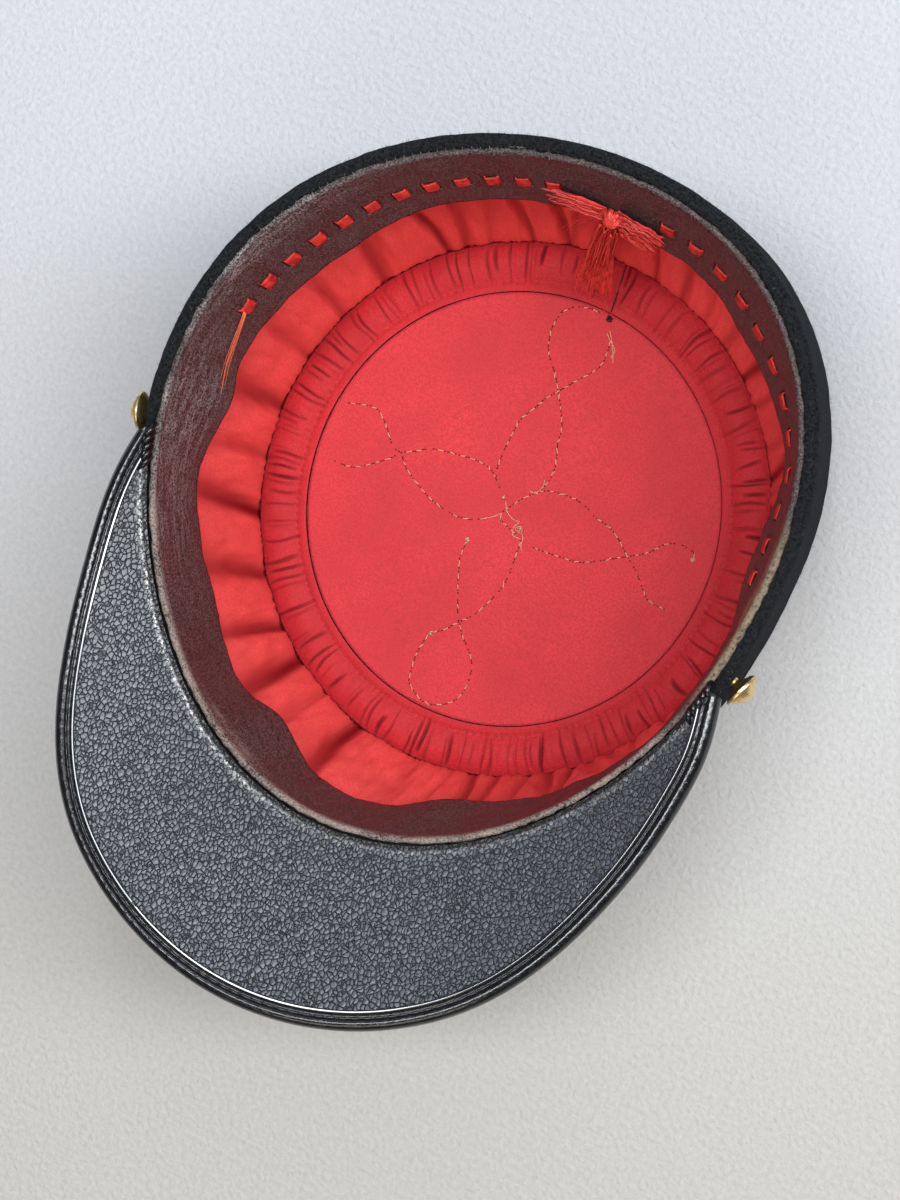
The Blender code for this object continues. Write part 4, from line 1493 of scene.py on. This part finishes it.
def frayed_end(surface):
    """Strands of the left ribbon's end that hang out of its last slit along the leather."""
    draw = random.Random(41)
    last = dash_angles(1)[-1] + UNDER_DASH_ANGLE / 2
    paths = []
    for index in range(6):
        sweep = math.radians(draw.uniform(11.5, 16.5))
        drop = draw.uniform(5.0, 9.0) * MM
        spread = draw.uniform(-1.0, 1.0) * MM
        points = []
        for step in range(9):
            share = step / 8
            angle = last + sweep * share ** 1.1
            depth = SLIT_ROW_DEPTH + 0.0017 + drop * share ** 1.6 + spread * math.sin(3.0 * share)
            off = SWEATBAND_WALL + (0.5 + 1.6 * math.sin(math.pi * share) ** 0.8) * MM
            points.append(sweatband_point(angle, depth, off + 0.15 * MM * index))
        line = smooth_path(points, 4)
        paths.append([(place, 0.17 * MM * (1.0 - 0.5 * step / len(line)))
                      for step, place in enumerate(line)])
    add_tubes("ribbon_frayed_end", paths, surface)


# Lining

# Valleys of the side lining as seen in the photograph: degrees round the cap, spread in
# degrees, depth as a share of the fold
SEEN_VALLEYS = ((294.0, 3.4, 1.00), (307.5, 3.6, 0.85), (320.0, 2.4, 0.90), (329.5, 3.0, 1.00),
                (338.5, 2.2, 0.45), (349.0, 3.0, 1.00), (4.0, 2.5, 0.35), (283.0, 2.0, 0.55),
                (272.0, 4.0, 0.80), (259.0, 2.6, 0.55), (247.0, 2.4, 0.60), (235.0, 3.0, 0.75))
SIDE_FOLD = 0.0044


def make_valleys():
    """Valleys of the side lining right round: those seen, and drawn ones in between."""
    draw = random.Random(23)
    valleys = [(math.radians(middle), math.radians(spread), depth, draw.uniform(-0.06, 0.06))
               for middle, spread, depth in SEEN_VALLEYS]
    degrees = 12.0
    while degrees < 230.0:
        spread = draw.uniform(1.2, 2.6)
        valleys.append((math.radians(degrees), math.radians(spread), draw.uniform(0.25, 0.95),
                        draw.uniform(-0.16, 0.16)))
        degrees += draw.uniform(3.5, 9.5)
    return valleys


VALLEYS = make_valleys()


def side_valley(angle, share):
    """How deep in a fold's hollow of the side lining a place is, from 0 on a crest to 1. It shapes
    the folds and sets the painted shade in them.
    """
    turn = angle + 0.02 * ring_noise(angle, 7.0, share * 1.5)
    deepest = 0.0
    for middle, spread, depth, drift in VALLEYS:
        wide = spread * (0.55 + 0.45 * (1.0 - share))
        away = signed_angle(turn - middle - drift * (share - 0.7))
        if abs(away) < 3.0 * wide:
            side = 0.7 if away > 0.0 else 1.25
            deepest = max(deepest, depth * bell(away, wide * side))
    return deepest * (0.65 + 0.35 * smooth_step(share))


def side_fold(angle, share):
    """Inward bulge of the side lining's folds, in metres, at a share of its way down."""
    loose = math.sin(math.pi * min(max(share, 0.0), 1.0)) ** 0.5
    gather = smooth_step((share - 0.66) / 0.34)
    swell = 0.85 + 0.30 * ring_noise(angle, 6.0, 2.0 + share)
    small = 0.5 + 0.5 * math.sin(120.0 * angle + 9.0 * ring_noise(angle, 14.0, 4.0))
    fold = SIDE_FOLD * loose * (swell - 0.95 * side_valley(angle, share))
    fold += 0.00035 * small * gather
    fold += 0.0007 * loose * ring_noise(angle, 34.0, 3.0 + 5.0 * share)
    return max(fold, 0.0)


def lining_side_satin(surface):
    rows = []
    uvs = []
    valley_shade = []
    columns = 960
    row_count = 36
    for row in range(row_count + 1):
        share = row / row_count
        line = []
        uv_line = []
        for angle in round_angles(columns):
            bottom = wall_height(angle) + 0.0006
            depth = LINING_TOP_DEPTH + (bottom - LINING_TOP_DEPTH) * share
            shown = (depth - SWEATBAND_DEPTH * 0.8) / (bottom - SWEATBAND_DEPTH * 0.8)
            fold = side_fold(angle, shown) if shown > 0.0 else 0.0
            # Painted shade in the hollows of the folds.
            valley_shade.append(side_valley(angle, shown) ** 1.3 if shown > 0.0 else 0.0)
            line.append(wall_point(angle, depth, lining_inset() + LINING_WALL + fold))
            uv_line.append((angle * CROWN_HALF_WIDTH, -depth))
        rows.append(line)
        uvs.append(uv_line)

    def uv_at(row, column):
        return column * TURN / columns * CROWN_HALF_WIDTH, uvs[row][0][1]

    mesh = grid_mesh("lining_side_satin", rows, closed=True, inward=True, uvs=uv_at,
                     marks={"valley_shade": valley_shade})
    piece = thicken(add_piece("lining_side_satin", mesh, surface), SATIN_WALL)
    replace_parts(piece, "lining_side")
    return piece


def ring_edges(angle):
    """Outer seam and inner edge of the gathered ring, on the crown's inside."""
    seam_inset = lining_inset() + LINING_WALL / math.cos(STEEPEST_WALL) + GAP
    outer = crown_point(angle, seam_inset, 0.0)
    inner = Vector((LINING_TIP_HALF_WIDTH * math.sin(angle),
                    -LINING_TIP_HALF_LENGTH * math.cos(angle), 0.0))
    return outer, inner


def make_creases():
    """Groups of narrow creases round the ring: (angle, spread, depth, start, end) each."""
    draw = random.Random(17)
    creases = []
    angle = 0.0
    while angle < TURN - math.radians(4.0):
        for _ in range(draw.choice((1, 2, 2, 3, 4))):
            spread = math.radians(draw.uniform(0.15, 0.34))
            start = draw.uniform(-0.10, 0.12)
            end = draw.choice((draw.uniform(0.45, 0.75), 0.82, 0.86))
            creases.append((angle, spread, draw.uniform(0.30, 1.10) * MM, start, end))
            angle += math.radians(draw.uniform(1.0, 2.1))
        angle += math.radians(draw.uniform(0.8, 3.8))
    return creases


CREASES = make_creases()
CREASE_REACH = math.radians(1.4)


def ring_crease(angle, share):
    """Depth of the ring's creases there, in metres."""
    bent = angle + math.radians(1.1) * ring_noise(angle, 14.0, share * 1.4)
    total = 0.0
    for middle, spread, depth, start, end in CREASES:
        away = signed_angle(bent - middle)
        if abs(away) < CREASE_REACH:
            along = min(max((share - start) / (end - start), 0.0), 1.0)
            total += depth * bell(away, spread) * math.sin(math.pi * along) ** 0.5
    return total


def ring_top(angle, share):
    """Height of the ring's visible face over the lining's floor."""
    stitched = bell(share - RING_STITCH_SHARE, RING_SEW_SPREAD)
    seam = bell(share - RING_SEAM_SHARE, RING_SEW_SPREAD)
    puff = math.sin(math.pi * min(share / RING_STITCH_SHARE, 1.0)) ** 1.15
    margin = smooth_step((share - RING_STITCH_SHARE) / 0.12)
    height = LINING_WALL + RING_PUFF * 0.95 * puff + 0.0002 * margin
    height += RING_SEW_DEPTH * (1.0 - puff - stitched - seam)
    pucker = 0.00013 * math.sin(angle * 190.0 + 3.0 * ring_noise(angle, 6.0, 0.3))
    height += pucker * max(stitched, seam, 0.4 * bell(share - RING_STITCH_SHARE, 0.1))
    height += 0.00030 * ring_noise(angle, 16.0, share * 2.0)
    height += 0.00022 * ring_noise(angle, 48.0, share * 3.0) * puff
    return lining_floor() + height - ring_crease(angle, share)


def ring_surface(angle, share):
    outer, inner = ring_edges(angle)
    place = outer.lerp(inner, share)
    place.z = ring_top(angle, share)
    return place


def lining_ring_gathered(surface):
    columns = 1440
    shares = [step / 26 for step in range(26)] + [1.0]
    rows = [[ring_surface(angle, share) for angle in round_angles(columns)] for share in shares]
    # Painted shade in the creases, and a painted shadow along the last row, where the ring drops to
    # the tip.
    valley_shade = [min(1.0, ring_crease(angle, share) / (0.9 * MM)) for share in shares
              for angle in round_angles(columns)]
    valley_shade += [1.0] * columns
    drop = []
    for angle in round_angles(columns):
        _, inner = ring_edges(angle)
        drop.append(Vector((inner.x * 0.998, inner.y * 0.998, lining_floor() + LINING_WALL + GAP)))
    rows.append(drop)

    def uv_at(row, column):
        share = row / len(rows)
        return column * TURN / columns * CROWN_HALF_WIDTH, share * 0.0145

    mesh = grid_mesh("lining_ring_gathered", rows, closed=True, inward=False, uvs=uv_at,
                     marks={"valley_shade": valley_shade})
    mesh.flip_normals()
    piece = thicken(add_piece("lining_ring_gathered", mesh, surface), RING_WALL)
    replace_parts(piece, "lining_ring")
    return piece


def tip_height(x, y):
    return lining_floor() + LINING_WALL + 0.00025 * noise.noise(Vector((x, y, 0.0)) * 45.0)


def lining_tip_disc(surface):
    columns = 240
    rings = 60
    rows = []
    for ring in range(rings + 1):
        share = 1.0 - 0.995 * ring / rings
        line = []
        for angle in round_angles(columns):
            x = (LINING_TIP_HALF_WIDTH - GAP) * share * math.sin(angle)
            y = -(LINING_TIP_HALF_LENGTH - GAP) * share * math.cos(angle)
            line.append(Vector((x, y, tip_height(x, y))))
        rows.append(line)

    def uv_at(row, column):
        point = rows[row][column % columns]
        return point.x, point.y

    mesh = grid_mesh("lining_tip_disc", rows, closed=True, inward=False, uvs=uv_at)
    mesh.flip_normals()
    body = bmesh.new()
    body.from_mesh(mesh)
    body.verts.ensure_lookup_table()
    last = rings * columns
    body.faces.new([body.verts[last + column] for column in range(columns)])
    bmesh.ops.recalc_face_normals(body, faces=body.faces)
    body.to_mesh(mesh)
    body.free()
    mesh.shade_smooth()
    piece = thicken(add_piece("lining_tip_disc", mesh, surface), LINING_WALL)
    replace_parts(piece, "lining_tip")
    return piece


# Stitches of the lining

# Sewn lines of the tip, as spots (x, y) of the photograph
TOP_LINE = ((562, 312), (553, 326), (549, 342), (549, 354), (554, 370), (558, 388), (561, 410),
            (562, 429), (558, 443), (555, 468), (546, 485), (536, 493))
TOP_RIGHT_LINE = ((611, 340), (603, 363), (591, 373), (578, 380), (566, 387), (554, 394), (545, 399),
                  (535, 408), (521, 419), (512, 435), (503, 453), (497, 470), (498, 485), (507, 491))
TOP_ARC = ((562, 312), (576, 307), (592, 309), (606, 316))
LEFT_HIGH_LINE = ((335, 461), (355, 467), (388, 459), (401, 453), (417, 451), (433, 449), (460, 455),
                  (480, 462), (492, 471), (498, 485))
LEFT_LOW_LINE = ((350, 403), (365, 405), (377, 409), (385, 422), (388, 431), (393, 446), (401, 454),
                 (407, 469), (420, 487), (429, 497), (441, 507), (454, 515), (467, 519), (479, 519),
                 (496, 516))
RIGHT_HIGH_LINE = ((539, 492), (550, 491), (562, 494), (575, 499), (587, 508), (595, 517),
                   (609, 527), (619, 540), (624, 550), (630, 561), (636, 571), (641, 584),
                   (646, 597), (653, 604), (670, 611))
RIGHT_LOW_LINE = ((534, 548), (543, 551), (563, 558), (578, 562), (591, 562), (611, 559), (647, 553),
                  (663, 545), (678, 544), (693, 552), (694, 561))
LOW_LEFT_LINE = ((521, 541), (513, 564), (506, 581), (495, 596), (476, 613), (463, 620), (453, 625),
                 (444, 630), (431, 633), (422, 644), (415, 658), (411, 672), (410, 684), (424, 702),
                 (445, 704), (459, 697), (466, 687), (471, 672), (471, 658), (466, 644), (462, 635),
                 (460, 625), (458, 616), (458, 591), (458, 580), (459, 568), (460, 558), (467, 540))
CENTRE_LINE = ((539, 492), (524, 498), (511, 506), (500, 516), (508, 527), (518, 535))
TIP_LINES = (TOP_LINE, TOP_RIGHT_LINE, TOP_ARC, LEFT_HIGH_LINE, LEFT_LOW_LINE, RIGHT_HIGH_LINE,
             RIGHT_LOW_LINE, LOW_LEFT_LINE, CENTRE_LINE)
TIP_KNOTS = ((520, 529, 1.1), (467, 540, 0.6), (693, 560, 0.7), (431, 633, 0.6), (504, 497, 0.5))
RING_SEAM = ((627, 262), (622, 279), (617, 295), (611, 312))
SEAM_KNOT = (610, 318)
LOOSE_THREADS = (((610, 331), (612, 341), (613, 352), (613, 363)),
                 ((607, 333), (611, 342), (615, 350), (611, 358)),
                 ((480, 519), (487, 518), (495, 516), (502, 513)),
                 ((506, 501), (507, 511), (513, 519), (520, 522)),
                 ((519, 523), (514, 527), (513, 535), (520, 539)),
                 ((521, 530), (523, 538), (521, 545), (522, 551)),
                 ((545, 480), (543, 487), (536, 493), (530, 491)))


def tip_place(spot, over=0.0):
    """Point of the tip's face that shows at a spot of the photograph, raised over it."""
    place = seen_at_height(spot, lining_floor() + LINING_WALL)
    place.z = tip_height(place.x, place.y) + over
    return place


def ring_place(spot):
    """Point of the gathered ring that shows at a spot of the photograph."""
    place = seen_at_height(spot, lining_floor() + LINING_WALL + RING_PUFF)
    for _ in range(3):
        angle = math.atan2(place.x / CROWN_HALF_WIDTH, -place.y / CROWN_HALF_LENGTH)
        outer, inner = ring_edges(angle)
        share = (outer.length - place.xy.length) / (outer.length - inner.length)
        place = seen_at_height(spot, ring_top(angle, min(max(share, 0.0), 1.0)) + 0.12 * MM)
    return place


def stitches_along(path, length, gap, draw):
    """(start, end) of each stitch laid along a path."""
    spans = []
    travelled = 0.0
    start = None
    due = 0.0
    laid = True
    for first, second in zip(path, path[1:]):
        step = (second - first).length
        while travelled + step >= due:
            place = first.lerp(second, (due - travelled) / step) if step else first
            if laid:
                start = place
                due += length * draw.uniform(0.8, 1.2)
            else:
                spans.append((start, place))
                due += gap * draw.uniform(0.8, 1.2)
            laid = not laid
        travelled += step
    return spans


def tip_stitches(surface, hole_surface):
    """Hand stitches of the tip. Some have lost their thread and show only their holes."""
    draw = random.Random(3)
    paths = []
    holes = []
    for line in TIP_LINES:
        path = smooth_path([tip_place(spot) for spot in line], 6)
        for start, end in stitches_along(path, 0.0019, 0.0013, draw):
            along = (end - start).normalized()
            for place, side in ((start, -1.0), (end, 1.0)):
                place.z = tip_height(place.x, place.y)
                reach = along * side * draw.uniform(0.30, 0.65) * MM
                holes.append([(place - UP * 0.1 * MM, 0.20 * MM), (place + UP * 0.09 * MM, 0.24 * MM),
                              (place + reach + UP * 0.03 * MM, 0.13 * MM)])
            if draw.random() < 0.22:
                continue
            slant = Vector((draw.gauss(0.0, 0.22), draw.gauss(0.0, 0.22), 0.0)) * MM
            paths.append(stitch_path(start + slant, end - slant, UP * 0.26 * MM, 0.17 * MM))
    for x, y, size in TIP_KNOTS:
        paths.extend(knot_paths(tip_place((x, y)), size * MM, draw))
    for spots in LOOSE_THREADS:
        points = [tip_place(spot, 0.25 * MM) for spot in spots]
        paths.append([(place, 0.14 * MM) for place in smooth_path(points, 6)])
    add_tubes("tip_stitches", paths, surface)
    add_tubes("tip_stitch_holes", holes, hole_surface, sides=7)


def knot_paths(centre, size, draw):
    """Loops of thread tangled in one small knot."""
    paths = []
    for _ in range(5):
        axis = Vector((draw.gauss(0, 1), draw.gauss(0, 1), draw.gauss(0, 1))).normalized()
        first = axis.orthogonal().normalized()
        second = axis.cross(first)
        middle = centre + Vector((draw.gauss(0, 0.3), draw.gauss(0, 0.3), 0.5)) * size
        path = []
        for step in range(11):
            turn = TURN * 0.85 * step / 10
            reach = size * draw.uniform(0.6, 1.0)
            place = middle + reach * (math.cos(turn) * first + math.sin(turn) * second)
            place.z = max(place.z, centre.z + 0.1 * MM)
            path.append((place, 0.14 * MM))
        paths.append(path)
    return paths


def ring_seam(surface):
    """Dark thread and knot that close the gathered ring, below the bow."""
    draw = random.Random(19)
    points = [ring_place(spot) for spot in RING_SEAM]
    paths = [[(place, 0.20 * MM) for place in smooth_path(points, 6)]]
    paths.extend(knot_paths(tip_place(SEAM_KNOT, 0.2 * MM), 0.9 * MM, draw))
    paths.extend(knot_paths(tip_place(SEAM_KNOT, 0.5 * MM), 0.6 * MM, draw))
    add_tubes("ring_seam_thread", paths, surface)


def ring_stitches(name, share, surface, seed):
    """Stitches right round the gathered ring, at a share of its width from its outer seam."""
    draw = random.Random(seed)
    paths = []
    angle = 0.0
    pitch = RING_STITCH_PITCH
    while angle < TURN - pitch * 0.6:
        wobble = share + draw.uniform(-0.006, 0.006)
        start = ring_surface(angle, wobble)
        end = ring_surface(angle + pitch * 0.55, wobble + draw.uniform(-0.008, 0.008))
        paths.append(stitch_path(start, end, UP * 0.0001, 0.09 * MM))
        angle += pitch * draw.uniform(0.95, 1.05)
    add_tubes(name, paths, surface)


# Buttons

def button_profile():
    """Half section of a button from the top of its dome to its shank, as (reach, rise)."""
    profile = [(0.0, BUTTON_RIM + BUTTON_DOME)]
    dome_steps = 16
    for step in range(1, dome_steps + 1):
        share = step / dome_steps
        rise = math.cos(share * math.pi / 2) ** 0.75
        profile.append((BUTTON_RADIUS * 0.86 * share, BUTTON_RIM + BUTTON_DOME * rise))
    profile += [
        (BUTTON_RADIUS * 0.90, BUTTON_RIM - 0.0001),
        (BUTTON_RADIUS * 0.94, BUTTON_RIM + 0.0002),
        (BUTTON_RADIUS * 0.985, BUTTON_RIM + 0.00025),
        (BUTTON_RADIUS, BUTTON_RIM * 0.7),
        (BUTTON_RADIUS * 0.99, BUTTON_RIM * 0.2),
        (BUTTON_RADIUS * 0.93, -0.0001),
        (BUTTON_RADIUS * 0.80, -BUTTON_BACK * 0.75),
        (BUTTON_RADIUS * 0.62, -BUTTON_BACK),
        (BUTTON_RADIUS * 0.46, -BUTTON_BACK - 0.5 * MM),
        (SHANK_RADIUS, -BUTTON_BACK - SHANK_LENGTH),
        (SHANK_RADIUS, -BUTTON_BACK - SHANK_LENGTH - SHANK_SUNK),
        (0.0, -BUTTON_BACK - SHANK_LENGTH - SHANK_SUNK),
    ]
    return profile


def side_button(name, side, node, surface):
    angle = side * BUTTON_ANGLE
    outward = rim_outward(angle)
    outward.z = 0.0
    outward.normalize()
    rearward = UP.cross(outward) * side
    axis = outward * math.cos(BUTTON_TILT) - rearward * math.sin(BUTTON_TILT)
    seat = wall_point(angle, BUTTON_DEPTH, 0.0)
    stand_off = BUTTON_BACK + SHANK_LENGTH + GAP + SHANK_RADIUS * math.sin(BUTTON_TILT)
    centre = seat + axis * stand_off
    first = axis.orthogonal().normalized()
    second = axis.cross(first)
    steps = 64
    body = bmesh.new()
    rings = []
    for reach, rise in button_profile():
        if reach == 0.0:
            rings.append([body.verts.new(centre + axis * rise)])
            continue
        ring = []
        for step in range(steps):
            turn = TURN * step / steps
            aside = math.cos(turn) * first + math.sin(turn) * second
            ring.append(body.verts.new(centre + axis * rise + aside * reach))
        rings.append(ring)
    for upper, lower in zip(rings, rings[1:]):
        for step in range(steps):
            after = (step + 1) % steps
            if len(upper) == 1:
                body.faces.new((upper[0], lower[step], lower[after]))
            elif len(lower) == 1:
                body.faces.new((upper[step], lower[0], upper[after]))
            else:
                body.faces.new((upper[step], lower[step], lower[after], upper[after]))
    mesh = solid_mesh(name, body)
    mesh.set_sharp_from_angle(angle=math.radians(45.0))
    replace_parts(add_piece(name, mesh, surface), node)


# Stage, light and camera

def picture_side(right, up, height):
    """Place given by its distance right and up in the picture's own sense, and its height."""
    across, above, _ = camera_axes()
    across.z = above.z = 0.0
    place = right * across.normalized() + up * above.normalized()
    place.z = height
    return place


def light_axes(place):
    """Width, height and backward directions of a light at that place, aimed at the cap."""
    away = (place - LIGHT_TARGET).normalized()
    across = picture_side(1.0, 0.0, 0.0)
    across = (across - across.dot(away) * away).normalized()
    return across, away.cross(across), away


def area_light(name, place, size, power, colour):
    """Soft rectangle of light aimed at the cap, its width along the picture's."""
    data = bpy.data.lights.new(name, "AREA")
    data.shape = "RECTANGLE"
    data.size, data.size_y = size
    data.energy = power
    data.color = colour
    lamp = bpy.data.objects.new(name, data)
    bpy.context.scene.collection.objects.link(lamp)
    turn = Matrix(light_axes(place)).transposed().to_4x4()
    lamp.matrix_world = Matrix.Translation(place) @ turn


def lights():
    """Long overhead tube, a narrow strip that shines in the binding's bead, and soft fills."""
    world = bpy.data.worlds.new("studio")
    world.use_nodes = True
    background = world.node_tree.nodes["Background"]
    background.inputs["Color"].default_value = SKY_COLOUR
    background.inputs["Strength"].default_value = SKY_STRENGTH
    bpy.context.scene.world = world
    bpy.context.scene.view_settings.view_transform = "Standard"
    for name, spot, size, power, colour in LIGHTS:
        area_light(name, picture_side(*spot), size, power, colour)


def floor():
    body = bmesh.new()
    bmesh.ops.create_grid(body, x_segments=2, y_segments=2, size=FLOOR_HALF_SIZE)
    mesh = bpy.data.meshes.new("floor")
    body.to_mesh(mesh)
    body.free()
    made = bpy.data.objects.new("floor", mesh)
    mesh.materials.append(floor_paint())
    bpy.context.scene.collection.objects.link(made)


def camera():
    data = bpy.data.cameras.new("camera")
    data.lens = CAMERA_LENS
    data.sensor_width = CAMERA_SENSOR
    data.sensor_fit = "AUTO"
    data.shift_x, data.shift_y = CAMERA_SHIFT
    made = bpy.data.objects.new("camera", data)
    bpy.context.scene.collection.objects.link(made)
    across, above, back = camera_axes()
    turn = Matrix((across, above, back)).transposed().to_4x4()
    made.matrix_world = Matrix.Translation(CAMERA_TARGET + CAMERA_DISTANCE * back) @ turn
    bpy.context.scene.camera = made


# The cap's parts, in the order they are made

def wool_body():
    wool = wool_paint("blue-black wool")
    crown_tip_wool(wool)
    crown_welt_wool(wool)
    # Painted shade: the wall's wool is a darker copy. Painted light: the rim's wool is a little
    # lighter.
    crown_side_wool(wool_paint("wall wool with painted shade", light=0.45, sheen=0.03))
    base_band_wool(wool_paint("rim wool with painted light", light=1.10, sheen=0.05))
    wool_hairs(thread_paint("wool fibre", (0.022, 0.024, 0.030), 0.9))


def peak_and_binding():
    peak_leather(peak_paint())
    patent = patent_paint()
    peak_binding_patent(patent)
    binding_curls(patent)
    binding_bead(Paint("polished bead", (0.010, 0.011, 0.014), 0.11, Coat_Weight=1.0,
                       Coat_Roughness=0.06, Specular_IOR_Level=0.8).material)
    binding_stitches(thread_paint("waxed thread", (0.11, 0.11, 0.12), 0.5))


def sweatband_and_threads():
    sweatband_leather(sweatband_paint())
    whip_stitches("whip_stitches_pale", math.radians(197.0), math.radians(262.0),
                  thread_paint("pale thread", (0.22, 0.215, 0.20)), 0.13 * MM, 1)
    whip_stitches("whip_stitches_dark", math.radians(84.0), math.radians(196.0),
                  thread_paint("dark thread", (0.022, 0.020, 0.022)), 0.17 * MM, 2)
    torn_threads(thread_paint("grey thread", (0.20, 0.19, 0.18)))


def ribbon_and_bow():
    red = ribbon_paint("red silk ribbon", (0.66, 0.040, 0.030))
    ribbon_piece("ribbon_left_silk", 1, "ribbon_left", red)
    ribbon_piece("ribbon_right_silk", -1, "ribbon_right", red)
    strands = thread_paint("red silk strands", (0.86, 0.070, 0.052), 0.40)
    cloths = bow(ribbon_paint("red bow ribbon", (0.66, 0.040, 0.036)), strands)
    frayed_end(thread_paint("orange silk strands", (0.80, 0.16, 0.07), 0.5))


def lining_and_stitches():
    # Each lining's second colour is its painted shade in folds and creases.
    satin = lining_paint("side satin", (0.92, 0.102, 0.096), (0.19, 0.005, 0.007), 0.34, 0.00003)
    side = lining_side_satin(satin)
    cotton = lining_paint("ring cotton", (0.49, 0.018, 0.024), (0.12, 0.003, 0.005), 0.7, 0.00005)
    ring = lining_ring_gathered(cotton)
    flat_cotton = lining_paint("tip cotton", (0.58, 0.040, 0.049), (0.5, 0.03, 0.04), 0.8, 0.00006)
    tip = lining_tip_disc(flat_cotton)
    dark_red = thread_paint("dark red thread", (0.20, 0.012, 0.018))
    tip_stitches(thread_paint("tan thread", (0.78, 0.40, 0.24)),
                 thread_paint("stitch hole", (0.16, 0.008, 0.012), 0.9))
    ring_seam(thread_paint("dark knot thread", (0.020, 0.004, 0.006)))
    ring_stitches("ring_stitches_inner", RING_STITCH_SHARE, dark_red, 4)
    ring_stitches("ring_stitches_outer", RING_SEAM_SHARE, dark_red, 6)


def side_buttons():
    gilt = gilt_paint()
    side_button("button_left_gilt", -1, "side_button_left", gilt)
    side_button("button_right_gilt", 1, "side_button_right", gilt)


def main():
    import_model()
    camera()
    lights()
    floor()
    wool_body()
    peak_and_binding()
    sweatband_and_threads()
    ribbon_and_bow()
    lining_and_stitches()
    side_buttons()


main()
